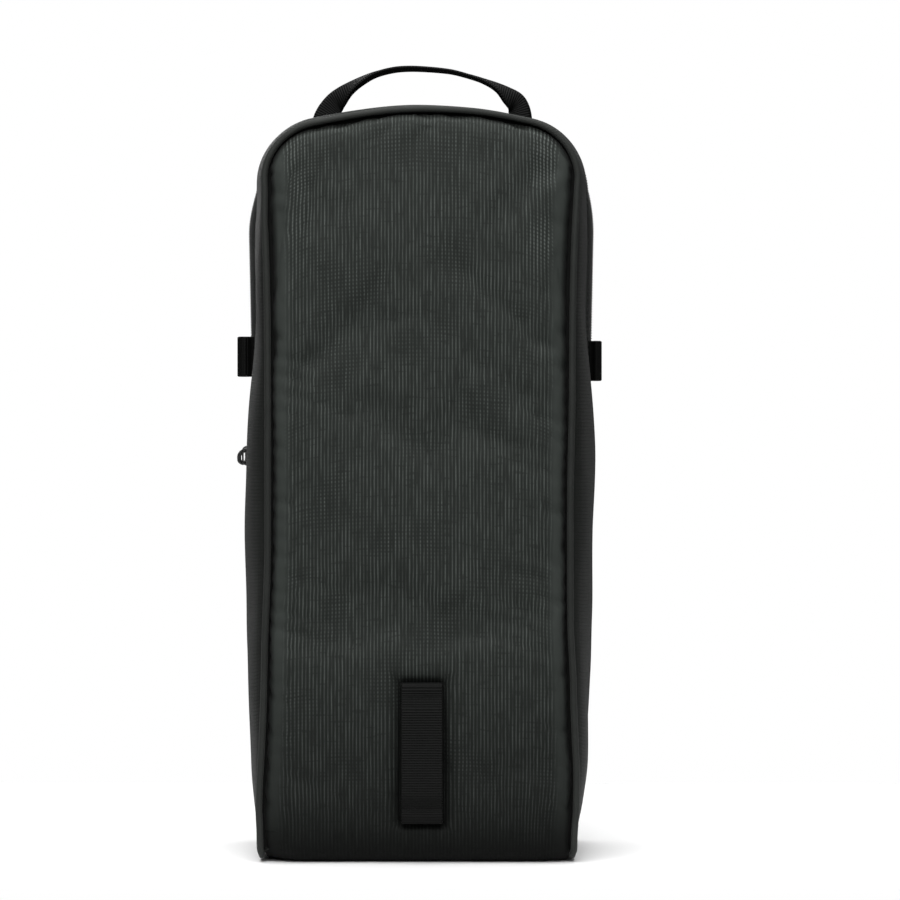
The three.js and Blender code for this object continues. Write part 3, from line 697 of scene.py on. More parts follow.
def ribbed_cloth(name, face, valley, rib=1.8, weft=1.9, depth=0.14):
    """Coated polyester oxford with a warp rib, woven: thin upright ribs catch the light, broken up where
    the weft crosses them, with a dotted grid in patches where the coating is thin. It is smooth along its
    sides, where a lighter band is painted highlight; painted shade darkens it next to its seams, beside the front
    strap and towards the foot."""
    material, tree = start_material(name)
    plain, u, v = cloth_axes(tree, 0.0, 0.35)
    ribs = yarns(tree, u, rib)
    thin = add_node(tree, "ShaderNodeMath", {0: ribs, 1: 3.2}, operation="POWER")
    rows = yarns(tree, v, weft)
    patch = add_node(tree, "ShaderNodeTexNoise", {"Vector": plain, "Scale": 1 / 30, "Detail": 1.0})
    dotted = add_node(
        tree,
        "ShaderNodeMapRange",
        {"Value": patch.outputs["Fac"], "From Min": 0.5, "From Max": 0.66, "To Min": 0.12, "To Max": 0.8},
    )
    along = add_node(tree, "ShaderNodeMapping", {"Vector": plain, "Scale": (1 / rib, 1 / 16, 1.0)})
    broken = add_node(tree, "ShaderNodeTexNoise", {"Vector": along.outputs[0], "Scale": 1.0, "Detail": 3.0})
    level = add_node(
        tree,
        "ShaderNodeMapRange",
        {"Value": broken.outputs["Fac"], "From Min": 0.32, "From Max": 0.68, "To Min": 0.15, "To Max": 1.0},
    )
    across = add_node(tree, "ShaderNodeMapping", {"Vector": plain, "Scale": (1 / 9, 1 / 1.6, 1.0)})
    dashes = add_node(tree, "ShaderNodeTexNoise", {"Vector": across.outputs[0], "Scale": 1.0, "Detail": 0.0})
    dark_dash = add_node(
        tree,
        "ShaderNodeMapRange",
        {"Value": dashes.outputs["Fac"], "From Min": 0.26, "From Max": 0.36, "To Min": 0.45, "To Max": 1.0},
    )
    gap = add_node(tree, "ShaderNodeMath", {0: rows, 1: -1.0, 2: 1.0}, operation="MULTIPLY_ADD")
    cut = add_node(tree, "ShaderNodeMath", {0: gap.outputs[0], 1: dotted.outputs[0]}, operation="MULTIPLY")
    kept = add_node(tree, "ShaderNodeMath", {0: cut.outputs[0], 1: -1.0, 2: 1.0}, operation="MULTIPLY_ADD")
    lit = add_node(tree, "ShaderNodeMath", {0: thin.outputs[0], 1: level.outputs[0]}, operation="MULTIPLY")
    lit = add_node(tree, "ShaderNodeMath", {0: lit.outputs[0], 1: kept.outputs[0]}, operation="MULTIPLY")
    shade = add_node(tree, "ShaderNodeMath", {0: lit.outputs[0], 1: dark_dash.outputs[0]}, operation="MULTIPLY")
    edge_uv = add_node(tree, "ShaderNodeUVMap", uv_map="seam")
    edge = add_node(tree, "ShaderNodeSeparateXYZ", {"Vector": edge_uv.outputs["UV"]})
    flat = add_node(
        tree,
        "ShaderNodeMapRange",
        {"Value": edge.outputs["X"], "From Min": 5.5 * MM, "From Max": 9.5 * MM, "To Min": 0.0, "To Max": 1.0},
    )
    near = add_node(
        tree,
        "ShaderNodeMapRange",
        {"Value": edge.outputs["X"], "From Min": 14 * MM, "From Max": 22 * MM, "To Min": 1.0, "To Max": 0.0},
    )
    thin_coat = add_node(tree, "ShaderNodeTexNoise", {"Vector": plain, "Scale": 1 / 42, "Detail": 1.0})
    worn = add_node(
        tree,
        "ShaderNodeMapRange",
        {"Value": thin_coat.outputs["Fac"], "From Min": 0.38, "From Max": 0.55, "To Min": 0.0, "To Max": 1.6},
    )
    high_up = add_node(
        tree,
        "ShaderNodeMapRange",
        {"Value": v, "From Min": 400.0, "From Max": 440.0, "To Min": 0.0, "To Max": 1.0},
    )
    to_right = add_node(
        tree,
        "ShaderNodeMapRange",
        {"Value": u, "From Min": -60.0, "From Max": 60.0, "To Min": 0.35, "To Max": 1.0},
    )
    rubbed = add_node(tree, "ShaderNodeMath", {0: high_up.outputs[0], 1: to_right.outputs[0]}, operation="MULTIPLY")
    worn = add_node(tree, "ShaderNodeMath", {0: worn.outputs[0], 1: rubbed.outputs[0]}, operation="MULTIPLY")
    shoulder = add_node(tree, "ShaderNodeMath", {0: near.outputs[0], 1: worn.outputs[0]}, operation="MULTIPLY")
    grid = add_node(tree, "ShaderNodeMath", {0: thin.outputs[0], 1: rows}, operation="MULTIPLY")
    dots = add_node(tree, "ShaderNodeMath", {0: grid.outputs[0], 1: shoulder.outputs[0]}, operation="MULTIPLY")
    both = add_node(tree, "ShaderNodeMath", {0: shade.outputs[0], 1: dots.outputs[0]}, operation="ADD")
    ribbed = add_node(tree, "ShaderNodeMath", {0: both.outputs[0], 1: flat.outputs[0]}, operation="MULTIPLY")
    # painted highlight: where the ribs fade out along the panel's sides, the tone is lifted to a lighter, even band
    painted_side_highlight = add_node(tree, "ShaderNodeMath", {0: flat.outputs[0], 1: -0.27, 2: 0.27}, operation="MULTIPLY_ADD")
    there = add_node(tree, "ShaderNodeMath", {0: ribbed.outputs[0], 1: painted_side_highlight.outputs[0]}, operation="ADD")
    lifted = add_node(tree, "ShaderNodeMath", {0: there.outputs[0], 1: 0.86, 2: 0.14}, operation="MULTIPLY_ADD")
    colour = blend_colours(tree, lifted.outputs[0], valley, face)
    # painted shade: darkens the cloth to near black over the last 3 mm to its seam edge, and in a band beside the
    # front strap
    painted_seam_shade = add_node(
        tree,
        "ShaderNodeMapRange",
        {"Value": edge.outputs["Y"], "From Min": 0.0, "From Max": 3.0 * MM, "To Min": 0.02, "To Max": 1.0},
    )
    # painted shade: darkens the cloth steeply over its foot and the roll under it
    foot = add_node(
        tree,
        "ShaderNodeMapRange",
        {"Value": v, "From Min": 118.0, "From Max": 160.0, "To Min": 0.05, "To Max": 1.0},
        interpolation_type="SMOOTHSTEP",
    )
    # painted shade: a gentler darkening over the lower part of the panels, fading out higher up
    painted_low_shade = add_node(
        tree,
        "ShaderNodeMapRange",
        {"Value": v, "From Min": 140.0, "From Max": 250.0, "To Min": 0.45, "To Max": 1.0},
        interpolation_type="SMOOTHSTEP",
    )
    painted_foot_shade = add_node(tree, "ShaderNodeMath", {0: foot.outputs[0], 1: painted_low_shade.outputs[0]}, operation="MULTIPLY")
    painted_shade_factor = add_node(tree, "ShaderNodeMath", {0: painted_seam_shade.outputs[0], 1: painted_foot_shade.outputs[0]}, operation="MULTIPLY")
    # blends in the painted shade, towards a near-black made from the valley colour
    colour = blend_colours(tree, painted_shade_factor.outputs[0], [c * 0.2 for c in valley[:3]] + [1.0], colour)
    bumps = add_node(tree, "ShaderNodeMath", {0: thin.outputs[0], 1: kept.outputs[0]}, operation="MULTIPLY")
    height = add_node(tree, "ShaderNodeMath", {0: bumps.outputs[0], 1: flat.outputs[0]}, operation="MULTIPLY")
    finish_material(
        tree,
        colour,
        height.outputs[0],
        depth,
        0.6,
        Sheen_Weight=0.02,
        Sheen_Roughness=0.5,
        IOR=1.46,
        Specular_IOR_Level=0.06,
    )
    return material


def woven_cloth(name, colour, pitch, depth, roughness, turn=0.0, dark=0.6, sheen=0.04):
    """Plain-woven polyester: warp and weft pass over each other in squares, fine and matte."""
    material, tree = start_material(name)
    plain, u, v = cloth_axes(tree, turn, 0.2)
    warp = yarns(tree, u, pitch)
    weft = yarns(tree, v, pitch)
    over = yarns(tree, u, 2 * pitch)
    under = yarns(tree, v, 2 * pitch, math.pi / 2)
    twist = add_node(tree, "ShaderNodeMath", {0: over, 1: under}, operation="GREATER_THAN")
    high = add_node(tree, "ShaderNodeMix", {"Factor": twist.outputs[0], "A": warp, "B": weft}, data_type="FLOAT")
    mottle = add_node(tree, "ShaderNodeTexNoise", {"Vector": plain, "Scale": 1 / 9, "Detail": 4.0})
    level = add_node(
        tree,
        "ShaderNodeMapRange",
        {"Value": mottle.outputs["Fac"], "From Min": 0.3, "From Max": 0.7, "To Min": 0.35, "To Max": 1.0},
    )
    shade = add_node(tree, "ShaderNodeMath", {0: high.outputs[0], 1: level.outputs[0]}, operation="MULTIPLY")
    low = [c * dark for c in colour[:3]] + [1.0]
    finish_material(
        tree,
        blend_colours(tree, shade.outputs[0], low, colour),
        high.outputs[0],
        depth,
        roughness,
        Sheen_Weight=sheen,
        Sheen_Roughness=0.5,
        Specular_IOR_Level=0.1,
    )
    return material


def ribbed_webbing(name, colour, pitch=1.25):
    """Polypropylene webbing, loom woven: weft ribs run straight across it, with a fine warp over them
    and a slight gloss on each rib."""
    material, tree = start_material(name)
    plain, u, v = cloth_axes(tree, 0.0, 0.12, 9.0)
    ribs = yarns(tree, v, pitch)
    warp = yarns(tree, u, 0.8)
    mix = add_node(tree, "ShaderNodeMath", {0: warp, 1: 0.25, 2: ribs}, operation="MULTIPLY_ADD")
    worn = add_node(tree, "ShaderNodeTexNoise", {"Vector": plain, "Scale": 1 / 6, "Detail": 3.0})
    level = add_node(
        tree,
        "ShaderNodeMapRange",
        {"Value": worn.outputs["Fac"], "From Min": 0.3, "From Max": 0.72, "To Min": 0.3, "To Max": 0.85},
    )
    shade = add_node(tree, "ShaderNodeMath", {0: mix.outputs[0], 1: level.outputs[0]}, operation="MULTIPLY", use_clamp=True)
    low = [c * 0.45 for c in colour[:3]] + [1.0]
    finish_material(
        tree,
        blend_colours(tree, shade.outputs[0], low, colour),
        mix.outputs[0],
        0.22,
        0.62,
        Specular_IOR_Level=0.1,
    )
    return material


def herringbone_tape(name, colour):
    """Polyester zip tape, woven in a herringbone twill: short slants that change side every two millimetres."""
    material, tree = start_material(name)
    plain, u, v = cloth_axes(tree, 0.0, 0.08)
    fold = add_node(tree, "ShaderNodeMath", {0: v, 1: 2.0}, operation="PINGPONG")
    slant = add_node(tree, "ShaderNodeMath", {0: fold.outputs[0], 1: u}, operation="ADD")
    twill = yarns(tree, slant.outputs[0], 0.7)
    mottle = add_node(tree, "ShaderNodeTexNoise", {"Vector": plain, "Scale": 1 / 5})
    shade = add_node(tree, "ShaderNodeMath", {0: twill, 1: mottle.outputs["Fac"]}, operation="MULTIPLY")
    low = [c * 0.6 for c in colour[:3]] + [1.0]
    finish_material(tree, blend_colours(tree, shade.outputs[0], low, colour), twill, 0.1, 0.75, Sheen_Weight=0.1, Specular_IOR_Level=0.3)
    return material


def drawn_nylon(name, colour):
    """Nylon 6 monofilament, drawn and coiled: smooth, with a soft gloss along each turn."""
    material, tree = start_material(name)
    place = add_node(tree, "ShaderNodeTexCoord")
    scuff = add_node(tree, "ShaderNodeTexNoise", {"Vector": place.outputs["Object"], "Scale": 900.0, "Detail": 3.0})
    low = [c * 0.7 for c in colour[:3]] + [1.0]
    finish_material(tree, blend_colours(tree, scuff.outputs["Fac"], low, colour), scuff.outputs["Fac"], 0.02, 0.38, IOR=1.53)
    return material


def twisted_thread(name, colour):
    """Bonded polyester thread, twisted: fine slanting plies with a low gloss."""
    material, tree = start_material(name)
    place = add_node(tree, "ShaderNodeTexCoord")
    wave = add_node(
        tree,
        "ShaderNodeTexWave",
        {"Vector": place.outputs["Object"], "Scale": 700.0, "Distortion": 1.0},
        bands_direction="DIAGONAL",
    )
    low = [c * 0.55 for c in colour[:3]] + [1.0]
    finish_material(tree, blend_colours(tree, wave.outputs["Fac"], low, colour), wave.outputs["Fac"], 0.06, 0.5, Sheen_Weight=0.1)
    return material


def braided_yarn(name, colour):
    """Braided polyester cord: each strand is a bundle of fine filaments with a silky gloss."""
    material, tree = start_material(name)
    plain, u, v = cloth_axes(tree, 0.0, 0.05)
    filaments = yarns(tree, u, 0.12)
    mottle = add_node(tree, "ShaderNodeTexNoise", {"Vector": plain, "Scale": 1 / 1.5})
    shade = add_node(tree, "ShaderNodeMath", {0: filaments, 1: mottle.outputs["Fac"]}, operation="MULTIPLY_ADD", use_clamp=True)
    low = [c * 0.5 for c in colour[:3]] + [1.0]
    finish_material(tree, blend_colours(tree, shade.outputs[0], low, colour), filaments, 0.03, 0.5, Sheen_Weight=0.2)
    return material


def enamelled_zinc(name, colour):
    """Die-cast zinc, black enamelled: an even gloss with a faint orange peel, and rubbed edges."""
    material, tree = start_material(name)
    place = add_node(tree, "ShaderNodeTexCoord")
    peel = add_node(tree, "ShaderNodeTexNoise", {"Vector": place.outputs["Object"], "Scale": 1600.0, "Detail": 2.0})
    edge = add_node(tree, "ShaderNodeNewGeometry")
    rubbed = add_node(
        tree,
        "ShaderNodeMapRange",
        {"Value": edge.outputs["Pointiness"], "From Min": 0.52, "From Max": 0.6, "To Min": 0.0, "To Max": 0.5},
    )
    bare = [0.12, 0.12, 0.125, 1.0]
    finish_material(tree, blend_colours(tree, rubbed.outputs[0], colour, bare), peel.outputs["Fac"], 0.01, 0.28, Coat_Weight=0.4)
    return material


def painted_floor(name, colour):
    """Matte painted studio floor: an even pale roll-coat with a trace of tone."""
    material, tree = start_material(name)
    place = add_node(tree, "ShaderNodeTexCoord")
    tone = add_node(tree, "ShaderNodeTexNoise", {"Vector": place.outputs["Object"], "Scale": 3.0})
    low = [c * 0.985 for c in colour[:3]] + [1.0]
    finish_material(tree, blend_colours(tree, tone.outputs["Fac"], low, colour), tone.outputs["Fac"], 0.05, 0.9, Specular_IOR_Level=0.1)
    return material


MATERIALS = {}


def finish_of(key):
    """Each finish is made once."""
    if key not in MATERIALS:
        makers = {
            "ribbed": lambda: ribbed_cloth("coated_ribbed_oxford", linear("cloth"), linear("cloth_valley")),
            "gusset": lambda: woven_cloth("woven_gusset_oxford", linear("gusset"), 0.9, 0.1, 0.6),
            "piping": lambda: woven_cloth("bias_piping_cover", linear("piping"), 0.7, 0.06, 0.52, math.pi / 4),
            # painted shade: the piping's tape takes the near-black thread colour, darker than the piping cover, so
            # the groove beside the piping reads dark
            "groove_shade_tape": lambda: woven_cloth("bias_tape_painted_shade", linear("thread"), 0.7, 0.06, 0.8, math.pi / 4, sheen=0.0),
            "lining": lambda: woven_cloth("taffeta_lining", linear("lining"), 0.6, 0.05, 0.6),
            "webbing": lambda: ribbed_webbing("woven_polypropylene_webbing", linear("webbing")),
            "tape": lambda: herringbone_tape("herringbone_zip_tape", linear("tape")),
            "coil": lambda: drawn_nylon("drawn_nylon_coil", linear("coil")),
            "thread": lambda: twisted_thread("bonded_polyester_thread", linear("thread")),
            "cord": lambda: braided_yarn("braided_polyester_cord", linear("cord")),
            "metal": lambda: enamelled_zinc("enamelled_zinc", linear("metal")),
            "floor": lambda: painted_floor("painted_floor", linear("floor")),
        }
        MATERIALS[key] = makers[key]()
    return MATERIALS[key]


# ---------- panels ----------


def panel_outline(back):
    """The edge line of a panel, for measuring how far inside it a point is."""
    places = arc_places(-60.0, 2.0)
    grow = (growth_at(places[:, 1]) if back else 0) - PANEL_INSET
    return np.stack([places[:, 0] + places[:, 2] * grow, places[:, 1] + places[:, 3] * grow], 1)


def edge_distance(points, line):
    """Distance of each x, z point to a polyline."""
    flat = points.reshape(-1, 2)
    a, b = line[:-1], line[1:]
    ab = b - a
    best = np.full(len(flat), 1e9)
    for start, step in zip(a, ab):
        t = np.clip(((flat - start) @ step) / (step @ step), 0, 1)
        d = np.linalg.norm(flat - (start + t[:, None] * step), axis=1)
        best = np.minimum(best, d)
    return best.reshape(points.shape[:-1])


def panel_grid(back, heights, columns_pitch):
    """Points x, z over a panel from its foot to its arched top edge."""
    places = top_places(columns_pitch)
    growth = BACK_GROWTH if back else 0
    top_x = places[:, 0] + places[:, 2] * (growth - PANEL_INSET)
    top_z = places[:, 1] + places[:, 3] * (growth - PANEL_INSET)
    half = float(seam_half(CORNER_Z)) + growth - PANEL_INSET
    across = top_x / half
    z = heights[0] + (top_z[None, :] - heights[0]) * (heights[:, None] - heights[0]) / (heights[-1] - heights[0])
    width = seam_half(z) - PANEL_INSET + (growth_at(z) if back else 0)
    return np.stack([across[None, :] * width, z], 2)


def padding(distance, crown, width):
    """Rise of a padded panel from its edge: a tight turn out of the seam, a rounded shoulder, a slow crown."""
    turn = np.sqrt(1 - (1 - np.clip(distance / EDGE_ROUND, 0, 1)) ** 2)
    shoulder = np.sqrt(1 - (1 - np.clip(distance / width, 0, 1)) ** 2)
    return EDGE_DEPTH * (turn - 1) + crown * (0.78 * shoulder + 0.22 * smooth(0, 70, distance))


def graded(low, high, pitch, edge=14.0):
    """Heights from low to high, closer and closer together near the top."""
    body = np.linspace(low, high - edge, int((high - edge - low) / pitch) + 2)[:-1]
    t = np.linspace(0, 1, 15)
    return np.concatenate([body, high - edge * (1 - t) ** 1.7])


def front_cloth_points():
    """The front panel down to its foot, the roll under it, and the base back to the back seam."""
    crown = size("front_crown")
    grid = panel_grid(False, graded(FRONT_ROLL_R, 377.0, 3.0), 2.4)
    inside = edge_distance(grid, panel_outline(False))
    rise = padding(inside, crown, size("shoulder"))
    depth3 = np.stack([grid[..., 0], 0 * grid[..., 0], grid[..., 1]], 2)
    pucker = 0.10 * np.exp(-inside / 7) * np.sin(grid[..., 1] * 2 * math.pi / 9 + grid[..., 0] * 0.21)
    slack = 0.55 * ripple(depth3, 95, 1) * smooth(4, 30, inside) + 0.12 * ripple(depth3, 28, 8)
    from_strap = np.maximum(
        np.abs(grid[..., 0] - (STRAP_LOW[0] + STRAP_HIGH[0]) / 2) - size("webbing_width") / 2,
        np.abs(grid[..., 1] - (STRAP_LOW[2] + STRAP_HIGH[2]) / 2) - (STRAP_HIGH[2] - STRAP_LOW[2]) / 2,
    )
    pressed = STRAP_DENT * (1 - smooth(1.5, 5.0, from_strap))
    pressed += STRAP_MOAT * smooth(-0.5, 1.2, from_strap) * (1 - smooth(2.6, 5.6, from_strap))
    y = FRONT_FACE_Y - rise - pucker - slack + pressed
    panel = np.stack([grid[..., 0], y, grid[..., 1]], 2)
    foot = panel[0]
    half = seam_half(0) - PANEL_INSET
    turned = []
    reach = foot[:, 1] - FRONT_FACE_Y
    for angle in np.linspace(0, math.pi / 2, 12)[1:]:
        fade = math.cos(angle)
        ys = FRONT_FACE_Y + FRONT_ROLL_R * (1 - math.cos(angle)) + reach * fade
        zs = FRONT_ROLL_R * (1 - math.sin(angle)) + 0 * ys
        turned.append(np.stack([foot[:, 0], ys, zs], 1))
    flat_end = BACK_FACE_Y - BACK_ROLL_R
    for y_at in np.linspace(FRONT_FACE_Y + FRONT_ROLL_R, flat_end, 24)[1:]:
        turned.append(np.stack([foot[:, 0], 0 * foot[:, 0] + y_at, 0 * foot[:, 0]], 1))
    for angle in np.linspace(0, math.pi / 2, 8)[1:]:
        ys = flat_end + BACK_ROLL_R * math.sin(angle) + 0 * foot[:, 0]
        zs = BACK_ROLL_R * (1 - math.cos(angle)) + 0 * foot[:, 0]
        turned.append(np.stack([foot[:, 0], ys, zs], 1))
    low_part = np.array(turned)[::-1]
    low_part[..., 0] *= half / np.abs(foot[:, 0]).max()
    corner = smooth(0.74, 1.0, np.abs(low_part[..., 0]) / half) ** 1.5
    front = 1 - smooth(-50, -20, low_part[..., 1])
    low_part[..., 2] += corner * front * np.where(low_part[..., 0] < 0, 3.6, 1.8)
    points = np.concatenate([low_part, panel], 0)
    aside = np.abs(grid[:, :1, 0]) - np.abs(grid[..., 0])
    low_edge = half - np.abs(low_part[..., 0])
    # painted shade: the second seam distance, the nearer of the panel's edge and the front strap, sets where the
    # material darkens the cloth
    shade_distance = np.minimum(inside, 0.4 + 0.62 * np.clip(from_strap, 0, None))
    edges = np.stack([np.concatenate([low_edge, aside], 0), np.concatenate([low_edge, shade_distance], 0)], 2)
    return points, edges, len(low_part)


def seam_values(edges):
    """Seam distances for a shell's outer face, inner face and rim."""
    rim = 2 * (edges.shape[0] + edges.shape[1]) - 4
    return np.concatenate([edges.reshape(-1, 2), edges.reshape(-1, 2), np.zeros((rim, 2))])


class OBJECT_OT_shoe_bag_front(bpy.types.Operator):
    """Makes the padded front panel, its roll and the base, as the one cloth that they are"""

    bl_idname = "object.shoe_bag_front"
    bl_label = "Front and base"

    def execute(self, context):
        points, edges, low_rows = front_cloth_points()
        held = np.ones(points.shape[:2])
        held[low_rows + 3 : -1, 1:-1] = 0.0
        points = settle(points, held, 1.2, 1.2, shrink=-0.012)
        uv = cloth_uv(points)
        uv[..., 0] = points[..., 0] * 1.02
        piece = make_piece(
            "front_cloth",
            [shell(points, CLOTH_T, outward=1, uv=uv)],
            finish_of("ribbed"),
            replaces=("front_panel", "base_panel"),
            seam=seam_values(edges),
        )
        return {"FINISHED"}


def back_points():
    crown = 2.5
    grid = panel_grid(True, graded(BACK_ROLL_R, 381.0, 3.0), 2.4)
    inside = edge_distance(grid, panel_outline(True))
    rise = padding(inside, crown, size("shoulder") * 0.9)
    flat = np.stack([grid[..., 0], 0 * grid[..., 0], grid[..., 1]], 2)
    slack = 0.3 * ripple(flat, 85, 2) * smooth(4, 30, inside)
    y = BACK_FACE_Y + rise + slack
    aside = np.abs(grid[:, :1, 0]) - np.abs(grid[..., 0])
    # the second distance also sets the painted shade that darkens the cloth next to its edge
    return np.stack([grid[..., 0], y, grid[..., 1]], 2), np.stack([aside, inside], 2)


HINGE_BELOW = (0.0, BACK_FACE_Y * MM, (ZIP_END_Z - 12) * MM)
HINGE_ABOVE = (0.0, BACK_FACE_Y * MM, (ZIP_END_Z + 6) * MM)
ACROSS_FLAP = ("bag", "flap", HINGE_BELOW, HINGE_ABOVE)


class OBJECT_OT_shoe_bag_back(bpy.types.Operator):
    """Makes the padded back panel, across the line where the flap folds back"""

    bl_idname = "object.shoe_bag_back"
    bl_label = "Back"

    def execute(self, context):
        points, edges = back_points()
        held = np.ones(points.shape[:2])
        held[2:-1, 1:-1] = 0.0
        points = settle(points[:, ::-1], held, 1.0, 0.9, shrink=-0.012)
        uv = cloth_uv(points)
        uv[..., 0] = points[..., 0]
        uv[..., 1] += BASE_RUN
        piece = make_piece(
            "back_cloth",
            [shell(points, CLOTH_T, outward=1, uv=uv)],
            finish_of("ribbed"),
            replaces=("back_lower_panel", "back_upper_panel"),
            across_joint=ACROSS_FLAP,
            seam=seam_values(edges[:, ::-1]),
        )
        return {"FINISHED"}


# ---------- gussets ----------


def gusset_foot(y):
    """Height of a side gusset's lower edge, which follows the rolls of the base."""
    front, back = FRONT_FACE_Y + FRONT_ROLL_R, BACK_FACE_Y - BACK_ROLL_R
    r_front, r_back = FRONT_ROLL_R - 1.2, BACK_ROLL_R - 1.2
    low = np.where(y < front, FRONT_ROLL_R - np.sqrt(np.clip(r_front**2 - (y - front) ** 2, 0, None)), 1.2)
    return np.where(y > back, BACK_ROLL_R - np.sqrt(np.clip(r_back**2 - (y - back) ** 2, 0, None)), low)


def seam_tuck(ys, at, sign):
    """Cloth turns in towards its seam over the last few millimetres."""
    return -6.6 * np.exp(-np.abs(ys - at) / 2.8) * sign


def gusset_wall(places, ys, seed, slack=0.5):
    points = on_cloth(places, ys)
    inward = seam_tuck(ys, ys[0], 1)[None, :]
    wobble = slack * ripple(points, 70, seed) * smooth(0, 14, ys - ys[0])[None, :]
    calm = 1 - smooth(ZIP_Y - 24, STRIP_EDGE_Y - 2, ys)[None, :] * smooth(150, 190, places[:, 1:2])
    out = inward + wobble * calm
    points[..., 0] += places[:, 2:3] * out
    points[..., 2] += places[:, 3:4] * out
    return points


class OBJECT_OT_shoe_bag_gusset(bpy.types.Operator):
    """Makes the gusset: full depth below the zip's ends, and a front and a rear strip above them"""

    bl_idname = "object.shoe_bag_gusset"
    bl_label = "Gusset"

    def execute(self, context):
        front_ys = np.concatenate(
            [np.linspace(FRONT_SEAM_Y + SEAM_SINK, -47, 12), np.linspace(-44, 26, 25), [28, 29.2, STRIP_EDGE_Y]]
        )
        places = arc_places(ZIP_END_Z, 3.0)
        strip = gusset_wall(places, front_ys, 3)
        rear_ys = np.concatenate([front_ys, np.linspace(32, 48, 10), np.linspace(50, BACK_SEAM_Y - SEAM_SINK, 12)])
        walls = []
        for side in (-1, 1):
            rows = 62
            v = np.linspace(0, 1, rows)[:, None]
            z = gusset_foot(rear_ys)[None, :] * (1 - v) + (ZIP_END_Z + 0 * rear_ys)[None, :] * v
            lower = np.zeros((rows, len(rear_ys), 3))
            for row in range(rows):
                for_row = side_places(side, z[row])
                out = np.array([stand_out(for_row[k : k + 1], rear_ys[k])[0, 0] for k in range(len(rear_ys))])
                lower[row, :, 0] = for_row[:, 0] + side * out
                lower[row, :, 1] = rear_ys
                lower[row, :, 2] = z[row]
            tuck = seam_tuck(rear_ys, rear_ys[0], 1) + seam_tuck(rear_ys, rear_ys[-1], 1)
            wobble = 0.5 * ripple(lower, 70, 3) * (smooth(0, 14, rear_ys - rear_ys[0]) * smooth(0, 14, rear_ys[-1] - rear_ys))[None, :]
            calm = 1 - smooth(ZIP_Y - 24, STRIP_EDGE_Y - 2, rear_ys)[None, :] * smooth(150, 190, lower[..., 2])
            lower[..., 0] += side * (tuck[None, :] + wobble * calm)
            walls.append(shell(lower, 1.3, outward=-side))
        make_piece(
            "gusset_cloth",
            [shell(strip, 1.3, outward=1)] + walls,
            finish_of("gusset"),
            replaces=("side_gusset_left", "side_gusset_right", "front_strip_left", "front_strip_right", "front_strip_top"),
        )
        rear_strip_ys = np.concatenate([[REAR_STRIP_Y, 50.8, 52], np.linspace(53, BACK_SEAM_Y - SEAM_SINK, 8)])
        rear = on_cloth(arc_places(ZIP_END_Z + 0.4, 3.0), rear_strip_ys)
        around = arc_places(ZIP_END_Z + 0.4, 3.0)
        tuck = seam_tuck(rear_strip_ys, rear_strip_ys[-1], 1)[None, :]
        rear[..., 0] += around[:, 2:3] * tuck
        rear[..., 2] += around[:, 3:4] * tuck
        make_piece(
            "rear_strip_cloth",
            [shell(rear, 1.3, outward=1)],
            finish_of("gusset"),
            body="flap",
            replaces=("rear_strip_left", "rear_strip_right", "rear_strip_top"),
        )
        return {"FINISHED"}


# ---------- piping ----------


def piping_line(places, y, grow):
    out = grow - PIPING_INSET
    x = places[:, 0] + places[:, 2] * out
    z = places[:, 1] + places[:, 3] * out
    return np.stack([x, 0 * x + y, z], 1)


def piping_flange(path, way):
    """The tape of the piping, folded back from its cord into the seam, in a near-black that is painted shade for the
    groove. way is +1 towards +Y.
    """
    _, back, outward = path_frames(path, (0, way, 0))
    outward = outward * way
    folded = np.array([(-0.2, 0.2), (-0.7, 1.4), (-2.2, 2.8), (-4.2, 4.0), (-7.0, 6.0)])
    points = path[:, None] + outward[:, None] * folded[None, :, :1] + back[:, None] * folded[None, :, 1:]
    return shell(points, 0.7, outward=way)


def tucked_in(path):
    """Turns both ends of the piping in towards the seam."""
    run = np.concatenate([[0], np.cumsum(np.linalg.norm(np.diff(path, axis=0), axis=1))])
    from_end = np.minimum(run, run[-1] - run)
    turned = path.copy()
    turned[:, 0] -= np.sign(path[:, 0]) * 0.9 * (1 - smooth(0, 5, from_end))
    return turned


